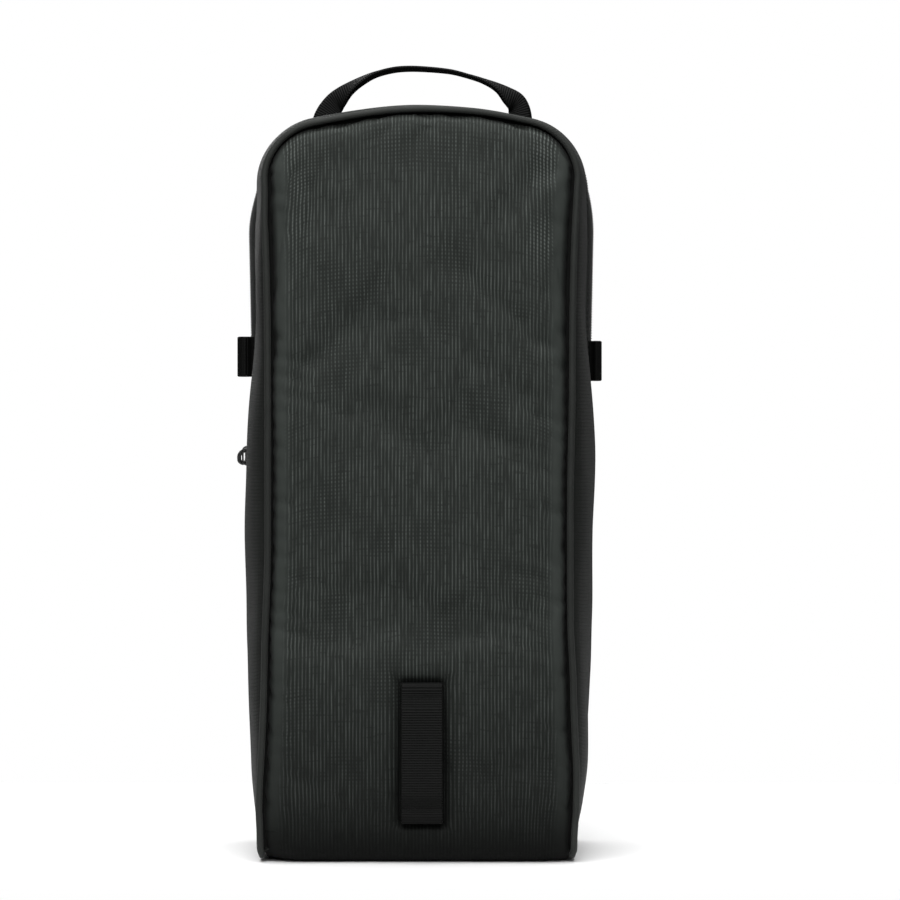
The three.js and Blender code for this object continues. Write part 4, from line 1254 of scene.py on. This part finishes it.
class OBJECT_OT_shoe_bag_piping(bpy.types.Operator):
    """Makes the covered piping round the front and the back"""

    bl_idname = "object.shoe_bag_piping"
    bl_label = "Piping"

    def execute(self, context):
        radius = size("piping_radius")
        upper = piping_line(arc_places(FRONT_ROLL_R + 1, 3.0), FRONT_PIPING_Y, 0)
        feet = []
        for side in (-1, 1):
            angles = np.linspace(math.radians(54), math.radians(4), 8)
            y = FRONT_PIPING_Y + FRONT_ROLL_R * (1 - np.cos(angles))
            z = FRONT_ROLL_R - FRONT_ROLL_R * np.sin(angles)
            places = side_places(side, z)
            feet.append(np.stack([places[:, 0] - side * PIPING_INSET, y, z], 1))
        path = resample(np.vstack([feet[0], upper, feet[1][::-1]]), 420)
        thick = radius * (1 + 0.02 * ripple(path, 14, 4))
        make_piece(
            "front_piping_cover",
            [tube(tucked_in(path), thick, 14)],
            finish_of("piping"),
            replaces=("front_piping",),
        )
        make_piece("front_piping_tape", [piping_flange(path, 1)], finish_of("groove_shade_tape"))
        around = arc_places(BACK_ROLL_R, 3.0)
        back = piping_line(around, BACK_PIPING_Y, growth_at(around[:, 1]))
        feet = []
        for side in (-1, 1):
            angles = np.linspace(math.radians(46), math.radians(6), 6)
            z = BACK_ROLL_R * (1 - np.sin(angles))
            places = side_places(side, z)
            x = places[:, 0] + side * (growth_at(z) - PIPING_INSET)
            feet.append(np.stack([x, BACK_PIPING_Y - BACK_ROLL_R * (1 - np.cos(angles)), z], 1))
        back = resample(np.vstack([feet[0], back, feet[1][::-1]]), 420)
        make_piece(
            "back_piping_cover",
            [tube(tucked_in(back), radius * (1 + 0.02 * ripple(back, 14, 5)), 14)],
            finish_of("piping"),
            replaces=("back_piping_upper", "back_piping_lower_left", "back_piping_lower_right"),
            across_joint=ACROSS_FLAP,
        )
        make_piece(
            "back_piping_tape",
            [piping_flange(back, -1)],
            finish_of("groove_shade_tape"),
            across_joint=ACROSS_FLAP,
        )
        return {"FINISHED"}


# ---------- zip ----------


def track(lift, y, pitch=0.5, low=ZIP_END_Z + 0.4):
    """The zip's centre line at a depth, with its outward directions."""
    places = arc_places(low, pitch)
    return on_cloth(places, [y], lift)[:, 0], np.stack([places[:, 2], 0 * places[:, 0], places[:, 3]], 1)


def coil(near, far, phase):
    """A flattened helix of nylon along the zip, from its head near the middle to its heel on the tape."""
    path, outward = track(-0.5, ZIP_Y)
    run = np.concatenate([[0], np.cumsum(np.linalg.norm(np.diff(path, axis=0), axis=1))])
    pitch = size("coil_pitch")
    turns = int(run[-1] / pitch)
    per_turn = 12
    s = (np.arange(turns * per_turn) / per_turn + phase) * pitch
    s = s[s < run[-1]]
    angle = 2 * math.pi * s / pitch
    centre = np.stack([np.interp(s, run, path[:, k]) for k in range(3)], 1)
    up = np.stack([np.interp(s, run, outward[:, k]) for k in range(3)], 1)
    up /= np.linalg.norm(up, axis=1, keepdims=True)
    flat_cos = np.sign(np.cos(angle)) * np.abs(np.cos(angle)) ** 0.6
    flat_sin = np.sign(np.sin(angle)) * np.abs(np.sin(angle)) ** 0.7
    middle, half = (near + far) / 2, abs(far - near) / 2
    line = centre + up * (0.8 * flat_sin)[:, None]
    line[:, 1] = middle + half * flat_cos
    return tube(line, 0.3, 5, across=(0.3, 0.1, 0.9), cap=False)


class OBJECT_OT_shoe_bag_zip(bpy.types.Operator):
    """Makes the two zip tapes, the two coils and the tabs over the zip's ends"""

    bl_idname = "object.shoe_bag_zip"
    bl_label = "Zip"

    def execute(self, context):
        around = arc_places(ZIP_END_Z + 0.4, 3.0)
        front_ys = np.array([STRIP_EDGE_Y - 2, STRIP_EDGE_Y + 2, 34, 35.5, 37, 38.6])
        rear_ys = np.array([41.4, 43, 44.5, 46, REAR_STRIP_Y - 2, REAR_STRIP_Y + 1])
        sink = np.array([-1.6, -0.4, 0, 0, 0, 0])
        for name, ys, lift, body in (
            ("front", front_ys, sink, "bag"),
            ("rear", rear_ys, sink[::-1], "flap"),
        ):
            points = np.stack([on_cloth(around, [y], d)[:, 0] for y, d in zip(ys, lift)], 1)
            make_piece(
                f"zip_tape_{name}_cloth",
                [shell(points, 0.7, outward=1)],
                finish_of("tape"),
                body=body,
                replaces=(f"zip_tape_{name}",),
            )
        make_piece("zip_coil_front_turns", [coil(ZIP_Y + 0.5, ZIP_Y - 3.1, 0.0)], finish_of("coil"), replaces=("zip_coil_front",), sharp=180)
        make_piece("zip_coil_rear_turns", [coil(ZIP_Y - 0.5, ZIP_Y + 3.1, 0.5)], finish_of("coil"), body="flap", replaces=("zip_coil_rear",), sharp=180)
        for word, side in (("left", -1), ("right", 1)):
            places = side_places(side, np.linspace(ZIP_END_Z - 11, ZIP_END_Z - 0.8, 12))
            ys = np.linspace(ZIP_Y - 6, ZIP_Y + 6, 10)
            tab = on_cloth(places, ys, 1.35)
            rows = []
            for z in (ZIP_END_Z - 9.5, ZIP_END_Z - 2.5):
                line = on_cloth(side_places(side, [z]), np.linspace(ZIP_Y - 5, ZIP_Y + 5, 9), 1.4)[0]
                rows.append(stitch_row(line, (side, 0, 0)))
            make_piece(f"zip_tab_{word}_webbing", [shell(tab, 0.9, outward=-side)], finish_of("webbing"), replaces=(f"zip_end_tab_{word}",))
            make_piece(f"zip_tab_{word}_stitches", rows, finish_of("thread"))
        return {"FINISHED"}


def rounded_plate(outline, near, far, edge):
    """A plate with softened edges. outline is depth, height pairs; near and far are distances along -X."""
    outline = np.asarray(outline, float)
    centre = outline.mean(0)
    rings = []
    for x, inset in ((near, edge), (near + edge, 0), (far - edge, 0), (far, edge)):
        reach = np.linalg.norm(outline - centre, axis=1, keepdims=True)
        ring = centre + (outline - centre) * (1 - inset / reach)
        rings.append(np.column_stack([np.full(len(ring), -x), ring]))
    count = len(outline)
    verts = np.vstack(rings)
    faces = []
    for r in range(3):
        for k in range(count):
            n = (k + 1) % count
            faces.append((r * count + k, r * count + n, (r + 1) * count + n, (r + 1) * count + k))
    faces += [tuple(range(count))[::-1], tuple(range(3 * count, 4 * count))]
    return verts, faces, verts[:, 1:]


def slider_outline(half_top, half_foot, half_length, steps=8):
    """A slider's plate seen from outside: broad at the mouth below, narrow at the throat above."""
    points = []
    corners = [(half_foot, -half_length, 1.8), (half_top, half_length, 1.4)]
    for (half, z, r), (a, b) in zip(corners, ((-90, 0), (0, 90))):
        for angle in np.linspace(math.radians(a), math.radians(b), steps):
            points.append((half - r + r * math.cos(angle), z - math.copysign(r, z) + r * math.sin(angle)))
    mirrored = [(-y, z) for y, z in reversed(points)]
    return np.array(points + mirrored)


class OBJECT_OT_shoe_bag_slider(bpy.types.Operator):
    """Makes the zip's slider and the braided cord loop that pulls it"""

    bl_idname = "object.shoe_bag_slider"
    bl_label = "Slider and pull"

    def execute(self, context):
        middle_z = (SLIDER_LOW[2] + SLIDER_HIGH[2]) / 2
        half_length = (SLIDER_HIGH[2] - SLIDER_LOW[2]) / 2
        half_width = (SLIDER_HIGH[1] - SLIDER_LOW[1]) / 2
        inner = -SLIDER_HIGH[0]
        bridge_out = -SLIDER_LOW[0]
        plate = 1.4
        outer = inner + plate + 2.8
        face = outer + plate
        shape = slider_outline(half_width - 1.1, half_width, half_length) + [ZIP_Y, middle_z]
        small = slider_outline(half_width - 1.5, half_width - 0.4, half_length - 0.5) + [ZIP_Y, middle_z]
        parts = [rounded_plate(shape, outer, face, 0.35), rounded_plate(small, inner, inner + plate, 0.3)]
        wedge = np.array([(-0.42, 0), (0.42, 0), (0.3, 2), (0.42, 4), (-0.42, 4), (-0.3, 2)])
        parts.append(rounded_plate(wedge + [ZIP_Y, middle_z + 1], inner + plate - 0.4, outer + 0.4, 0.05))
        reach = 4.9
        bar = spline(
            [
                (-face + 0.4, ZIP_Y, middle_z - reach - 0.1),
                (-face - 1.4, ZIP_Y, middle_z - reach),
                (-bridge_out + 0.9, ZIP_Y, middle_z - reach + 1.0),
                (-bridge_out + 0.5, ZIP_Y, middle_z - 2),
                (-bridge_out + 0.5, ZIP_Y, middle_z + 2),
                (-bridge_out + 0.9, ZIP_Y, middle_z + reach - 1.0),
                (-face - 1.4, ZIP_Y, middle_z + reach),
                (-face + 0.4, ZIP_Y, middle_z + reach + 0.1),
            ],
            40,
        )
        parts.append(tube(bar, 0.5, 10))
        make_piece("slider_body", parts, finish_of("metal"), body="slider", replaces=("zip_slider",), sharp=40)

        hinge = bridge_out - 0.5
        route = np.array(
            [
                (hinge - 2.34, 0.6, 2.9),
                (hinge - 2.0, -1.3, 2.9),
                (hinge - 0.6, -2.3, 2.6),
                (hinge + 0.8, -2.0, 1.7),
                (hinge + 1.8, -0.8, 0.3),
                (hinge + 2.0, 0.8, -1.2),
                (hinge + 1.9, 2.8, -2.6),
                (hinge + 1.0, 6, -3.6),
                (hinge - 0.2, 10, -3.8),
                (hinge - 0.9, 15, -3.3),
                (hinge - 1.1, 19.3, -1.8),
                (hinge - 1.1, 20.4, 0.4),
                (hinge - 1.2, 18, 2.5),
                (hinge - 1.5, 12, 3.1),
                (hinge - 1.9, 6, 3.0),
            ]
        )
        route = route * [-1, 1, 1] + [0, ZIP_Y, middle_z]
        path = spline(route, 320, endless=True)
        looped = np.vstack([path[-1:], path, path[:1]])
        _, first, second = (a[1:-1] for a in path_frames(looped, (0.25, 0.15, 0.95)))
        strands = [tube(path, 0.72, 10, across=(0.25, 0.15, 0.95), endless=True)]
        lays = 11
        at = np.arange(len(path)) / len(path)
        for way in (-1, 1):
            for k in range(4):
                angle = way * 2 * math.pi * lays * at + k * math.pi / 2
                weave = 0.14 * np.cos(4 * math.pi * 2 * lays * at + (math.pi if way < 0 else 0))
                r = 0.74 + weave
                line = path + first * (np.cos(angle) * r)[:, None] + second * (np.sin(angle) * r)[:, None]
                strands.append(tube(line, 0.3, 6, across=(0.25, 0.15, 0.95), endless=True))
        make_piece("pull_cord_braid", strands, finish_of("cord"), body="pull", replaces=("zip_pull_cord",), sharp=180)
        return {"FINISHED"}


# ---------- webbing ----------


def ribbon(path, across, widths, thickness, outward=1):
    """Flat webbing along a path, given the direction across it and its edge-to-edge offsets."""
    _, first, _ = path_frames(path, across)
    points = path[:, None] + first[:, None] * widths[None, :, None]
    run = np.concatenate([[0], np.cumsum(np.linalg.norm(np.diff(path, axis=0), axis=1))])
    uv = np.stack(
        [np.broadcast_to(widths[None, :], points.shape[:2]), np.broadcast_to(run[:, None], points.shape[:2])], 2
    )
    return shell(points, thickness, outward, uv)


class OBJECT_OT_shoe_bag_handle(bpy.types.Operator):
    """Makes the carrying handle: flat webbing, folded in half where each end is sewn down"""

    bl_idname = "object.shoe_bag_handle"
    bl_label = "Handle"

    def execute(self, context):
        y = (HANDLE_LOW[1] + HANDLE_HIGH[1]) / 2
        thickness = size("webbing_thickness")
        # x, z and how far the webbing is folded, along its outside from the left end to the right end
        rows = np.array(
            [
                (-55.2, 370.0, 1.0),
                (-54.7, 376.2, 1.0),
                (-51.8, 382.0, 1.0),
                (-47.3, 387.3, 0.94),
                (-42.6, 390.7, 0.62),
                (-37.3, 393.5, 0.33),
                (-30.9, 396.4, 0.17),
                (-23.3, 399.2, 0.07),
                (-14.0, 400.8, 0.01),
                (-5.0, 401.3, 0.0),
                (5.5, 400.8, 0.0),
                (15.0, 399.8, 0.0),
                (24.0, 398.3, 0.05),
                (32.5, 395.8, 0.08),
                (40.0, 393.3, 0.22),
                (45.6, 391.0, 0.52),
                (51.0, 388.2, 0.86),
                (54.4, 384.2, 1.0),
                (56.5, 378.2, 1.0),
                (57.2, 370.0, 1.0),
            ]
        )
        rows = spline_rows(rows, 170)
        outside = np.stack([rows[:, 0], 0 * rows[:, 0] + y, rows[:, 1]], 1)
        tangent = np.gradient(outside, axis=0)
        tangent /= np.linalg.norm(tangent, axis=1, keepdims=True)
        normal = np.stack([-tangent[:, 2], 0 * rows[:, 0], tangent[:, 0]], 1)
        path = outside - normal * 1.5 * thickness
        fold = np.clip(rows[:, 2], 0, 1)
        width = size("webbing_width") / 2
        across = np.linspace(-width, width, 31)
        angle = fold[:, None] * math.radians(87)
        soft = np.sqrt(across[None, :] ** 2 + 0.8) - 0.9
        ys = across[None, :] * np.cos(angle) + np.sign(across)[None, :] * thickness * 0.6 * fold[:, None]
        ns = thickness / 2 - soft * np.sin(angle)
        twist = 0.5 * np.sin(np.arange(len(path))[:, None] * 0.05 + across[None, :] * 0.2) * (1 - fold[:, None])
        roll = 0.022 * across[None, :] * (1 - fold[:, None])
        points = path[:, None] + normal[:, None] * (ns + roll + 0.4 * twist)[..., None]
        points[..., 1] += ys
        length = np.concatenate([[0], np.cumsum(np.linalg.norm(np.diff(path, axis=0), axis=1))])
        uv = np.stack([np.broadcast_to(across, points.shape[:2]), np.broadcast_to(length[:, None], points.shape[:2])], 2)
        make_piece(
            "handle_strap",
            [shell(points, thickness, outward=-1, uv=uv)],
            finish_of("webbing"),
            body="handle",
            replaces=("handle_webbing",),
        )
        return {"FINISHED"}


class OBJECT_OT_shoe_bag_loops(bpy.types.Operator):
    """Makes the two side loops, folded double and sewn into the seam beside the zip"""

    bl_idname = "object.shoe_bag_loops"
    bl_label = "Side loops"

    def execute(self, context):
        widths = np.linspace(-size("webbing_width") / 2, size("webbing_width") / 2, 17)
        for word, side in (("left", -1), ("right", 1)):
            low, high = node_box(f"side_loop_{word}")
            (_, y, z), spread = (low + high) / 2, (high[1] - low[1]) / 2
            root, out = sorted((abs(low[0]), abs(high[0])))
            out -= LOOP_DRAW[word]
            legs = [
                (root - 2.6, 0.6),
                (root - 0.2, 1.2),
                (root + 1.6, spread * 0.8),
                (out - 2.0, spread),
                (out - 0.5, spread * 0.72),
                (out, 0),
            ]
            half = [(side * x, y + w, z) for x, w in legs]
            other = [(side * x, y - w, z) for x, w in legs[-2::-1]]
            path = spline(half + other, 60)
            loop = ribbon(path, (0, 0, 1), widths, 1.2, outward=side)
            make_piece(f"side_loop_{word}_webbing", [loop], finish_of("webbing"), replaces=(f"side_loop_{word}",))
        return {"FINISHED"}


class OBJECT_OT_shoe_bag_strap(bpy.types.Operator):
    """Makes the front strap: its ends turned under and bar-tacked, its middle standing off the panel"""

    bl_idname = "object.shoe_bag_strap"
    bl_label = "Front strap"

    def execute(self, context):
        x = (STRAP_LOW[0] + STRAP_HIGH[0]) / 2
        near = STRAP_HIGH[1]
        far = STRAP_LOW[1]
        low, high = STRAP_LOW[2], STRAP_HIGH[2]
        t = size("webbing_thickness")
        under, over = near - t / 2, near - 1.5 * t
        profile = [
            (under, low + 8),
            (under, low + 2),
            ((under + over) / 2, low + 0.75),
            (over, low + 2),
            (over - 0.1, low + 6.4),
            (over - 1.5, low + 10),
            (far + t / 2 + 0.3, low + 15),
            (far + t / 2, (low + high) / 2),
            (far + t / 2 + 0.3, high - 15),
            (over - 1.5, high - 10),
            (over - 0.1, high - 6.4),
            (over, high - 2),
            ((under + over) / 2, high - 0.75),
            (under, high - 2),
            (under, high - 8),
        ]
        path = spline([(x, y, z) for y, z in profile], 150)
        widths = np.linspace(-size("webbing_width") / 2, size("webbing_width") / 2, 17)
        tangent, first, normal = path_frames(path, (1, 0, 0))
        centred = path - normal * (t / 2)
        make_piece(
            "front_strap_webbing",
            [ribbon(centred, (1, 0, 0), widths, t, outward=1)],
            finish_of("webbing"),
            replaces=("front_strap",),
        )
        tacks = []
        for z in (low + 3.4, low + 5.2, high - 3.4, high - 5.2):
            line = np.array([(x + w, over - t / 2 - 0.05, z) for w in np.linspace(-9, 9, 12)])
            tacks.append(stitch_row(line, (0, -1, 0), thread=0.26, gap=0.5, length=2.0))
        make_piece("front_strap_stitches", tacks, finish_of("thread"))
        return {"FINISHED"}


class OBJECT_OT_shoe_bag_stitching(bpy.types.Operator):
    """Sews the rows of stitches beside the zip"""

    bl_idname = "object.shoe_bag_stitching"
    bl_label = "Stitching"

    def execute(self, context):
        rows = []
        path, outward = track(0.12, STRIP_EDGE_Y - 2.2, 2.0, ZIP_END_Z - 2)
        rows.append(stitch_row(path, outward))
        make_piece("zip_front_stitches", rows, finish_of("thread"))
        path, outward = track(0.12, REAR_STRIP_Y + 2.2, 2.0)
        make_piece("zip_rear_stitches", [stitch_row(path, outward)], finish_of("thread"), body="flap")
        return {"FINISHED"}


# ---------- inside ----------


class OBJECT_OT_shoe_bag_inside(bpy.types.Operator):
    """Makes the linings over the foam and the covered base board"""

    bl_idname = "object.shoe_bag_inside"
    bl_label = "Inside"

    def execute(self, context):
        grid = panel_grid(False, graded(FRONT_ROLL_R + 6, 370.0, 6.0), 5.0)
        grid = grid * [0.955, 1.0]
        inside = np.clip(edge_distance(grid, panel_outline(False)), 0, None)
        y = FRONT_FACE_Y + 2.2 + 4.6 * smooth(1, 7, inside) - 3.2 * smooth(10, 70, inside)
        front = np.stack([grid[..., 0], y, grid[..., 1]], 2)
        make_piece(
            "front_lining_cloth",
            [shell(front, 0.5, outward=-1)],
            finish_of("lining"),
            replaces=("front_foam", "front_lining"),
        )
        grid = panel_grid(True, graded(BACK_ROLL_R + 6, 372.0, 6.0), 5.0) * [0.955, 1.0]
        inside = np.clip(edge_distance(grid, panel_outline(True)), 0, None)
        y = BACK_FACE_Y - 2.2 - 3.6 * smooth(1, 7, inside) + 2.0 * smooth(10, 70, inside)
        back = np.stack([grid[..., 0], y, grid[..., 1]], 2)
        make_piece(
            "back_lining_cloth",
            [shell(back, 0.5, outward=1)],
            finish_of("lining"),
            replaces=("back_lower_foam", "back_lower_lining", "back_upper_foam", "back_upper_lining"),
            across_joint=ACROSS_FLAP,
        )
        xs = np.linspace(BOARD_LOW[0], BOARD_HIGH[0], 30)
        ys = np.linspace(BOARD_LOW[1], BOARD_HIGH[1], 20)
        gx, gy = np.meshgrid(xs, ys, indexing="ij")
        edge = np.minimum(np.minimum(gx - xs[0], xs[-1] - gx), np.minimum(gy - ys[0], ys[-1] - gy))
        cover = np.stack([gx, gy, BOARD_HIGH[2] - 0.8 + 0.9 * smooth(0, 2.5, edge)], 2)
        make_piece(
            "base_board_cover",
            [shell(cover, BOARD_HIGH[2] - BOARD_LOW[2] - 0.2, outward=1)],
            finish_of("lining"),
            replaces=("base_board",),
        )
        return {"FINISHED"}


# ---------- stage ----------


class OBJECT_OT_shoe_bag_stage(bpy.types.Operator):
    """Sets the camera, the pale floor and the soft studio light"""

    bl_idname = "object.shoe_bag_stage"
    bl_label = "Stage"

    def execute(self, context):
        scene = bpy.context.scene
        distance, span = 2.0, 0.4485
        camera_data = bpy.data.cameras.new("camera")
        camera_data.sensor_width = 36.0
        camera_data.lens = camera_data.sensor_width * distance / span
        camera_data.clip_end = 20.0
        camera = bpy.data.objects.new("camera", camera_data)
        scene.collection.objects.link(camera)
        camera.location = (0.015, STRAP_LOW[1] * MM + 0.006 - distance, 0.206)
        camera.rotation_euler = (math.pi / 2, 0, 0)
        scene.camera = camera

        half = 0.42
        mesh = bpy.data.meshes.new("floor")
        n = 9
        gx, gy = np.meshgrid(np.linspace(-half, half, n), np.linspace(-0.17, half, n), indexing="ij")
        verts = np.stack([gx.ravel(), gy.ravel(), np.full(n * n, -0.0004)], 1)
        mesh.from_pydata(verts.tolist(), [], grid_faces(n, n).tolist())
        mesh.materials.append(finish_of("floor"))
        floor = bpy.data.objects.new("floor", mesh)
        scene.collection.objects.link(floor)

        lights = [
            ("key_above", (-0.12, -0.85, 0.92), (0.0, 0.0, 0.28), 0.8, 0.45, 11.4),
            ("front_fill", (0.4, -2.3, 0.9), (0.0, 0.0, 0.3), 1.2, 0.9, 12.6),
            ("floor_wash", (0.0, 0.15, 2.2), (0.0, 0.15, 0.0), 1.8, 1.8, 46.0),
            ("back_fill", (-0.5, 2.0, 0.9), (0.0, 0.0, 0.25), 1.2, 0.9, 9.0),
        ]
        for name, place, target, wide, high, power in lights:
            data = bpy.data.lights.new(name, "AREA")
            data.shape = "RECTANGLE"
            data.size, data.size_y, data.energy = wide, high, power
            light = bpy.data.objects.new(name, data)
            scene.collection.objects.link(light)
            light.location = place
            aim = np.array(target) - np.array(place)
            light.rotation_euler = mathutils_euler(aim)

        world = bpy.data.worlds.new("studio")
        scene.world = world
        world.use_nodes = True
        tree = world.node_tree
        tree.nodes.clear()
        path = add_node(tree, "ShaderNodeLightPath")
        way = add_node(tree, "ShaderNodeTexCoord")
        height = add_node(tree, "ShaderNodeSeparateXYZ", {"Vector": way.outputs["Generated"]})
        sky = add_node(
            tree,
            "ShaderNodeMapRange",
            {"Value": height.outputs["Z"], "From Min": -0.05, "From Max": 0.8, "To Min": 0.02, "To Max": 0.26},
        )
        dim = add_node(tree, "ShaderNodeBackground", {"Color": (1, 1, 1, 1), "Strength": sky.outputs[0]})
        bright = add_node(tree, "ShaderNodeBackground", {"Color": (1, 1, 1, 1), "Strength": 1.0})
        mix = add_node(
            tree,
            "ShaderNodeMixShader",
            {0: path.outputs["Is Camera Ray"], 1: dim.outputs[0], 2: bright.outputs[0]},
        )
        add_node(tree, "ShaderNodeOutputWorld", {"Surface": mix.outputs[0]})
        scene.view_settings.view_transform = "Standard"
        scene.view_settings.look = "None"
        return {"FINISHED"}


def mathutils_euler(aim):
    """The rotation that points a light's -Z along aim."""
    length = float(np.linalg.norm(aim))
    down = math.acos(-aim[2] / length)
    turn = math.atan2(-aim[0], aim[1])
    return (down, 0.0, turn)


STAGE = "object.shoe_bag_stage"
PIECES = (
    "object.shoe_bag_front",
    "object.shoe_bag_back",
    "object.shoe_bag_gusset",
    "object.shoe_bag_piping",
    "object.shoe_bag_zip",
    "object.shoe_bag_slider",
    "object.shoe_bag_handle",
    "object.shoe_bag_loops",
    "object.shoe_bag_strap",
    "object.shoe_bag_stitching",
    "object.shoe_bag_inside",
)


class VIEW3D_PT_shoe_bag(bpy.types.Panel):
    """Lists the shoe bag's sizes, colours and pieces"""

    bl_idname = "VIEW3D_PT_shoe_bag"
    bl_label = "Shoe bag"
    bl_space_type = "VIEW_3D"
    bl_region_type = "UI"
    bl_category = "Shoe bag"

    def draw(self, context):
        for group in (context.scene.shoe_bag_sizes, context.scene.shoe_bag_colours):
            box = self.layout.box()
            for name in group.__annotations__:
                box.prop(group, name)
        for operator in (STAGE, *PIECES):
            self.layout.operator(operator)


CLASSES = (
    ShoeBagSizes,
    ShoeBagColours,
    OBJECT_OT_shoe_bag_stage,
    OBJECT_OT_shoe_bag_front,
    OBJECT_OT_shoe_bag_back,
    OBJECT_OT_shoe_bag_gusset,
    OBJECT_OT_shoe_bag_piping,
    OBJECT_OT_shoe_bag_zip,
    OBJECT_OT_shoe_bag_slider,
    OBJECT_OT_shoe_bag_handle,
    OBJECT_OT_shoe_bag_loops,
    OBJECT_OT_shoe_bag_strap,
    OBJECT_OT_shoe_bag_stitching,
    OBJECT_OT_shoe_bag_inside,
    VIEW3D_PT_shoe_bag,
)


def register():
    for cls in CLASSES:
        bpy.utils.register_class(cls)
    bpy.types.Scene.shoe_bag_sizes = bpy.props.PointerProperty(type=ShoeBagSizes)
    bpy.types.Scene.shoe_bag_colours = bpy.props.PointerProperty(type=ShoeBagColours)


def unregister():
    del bpy.types.Scene.shoe_bag_colours
    del bpy.types.Scene.shoe_bag_sizes
    for cls in reversed(CLASSES):
        bpy.utils.unregister_class(cls)


def corners(box):
    return [[float(v) for v in corner] for corner in box]


def main():
    register()
    for operator in (STAGE, *PIECES):
        group, name = operator.split(".")
        getattr(getattr(bpy.ops, group), name)()


if __name__ == "__main__":
    main()
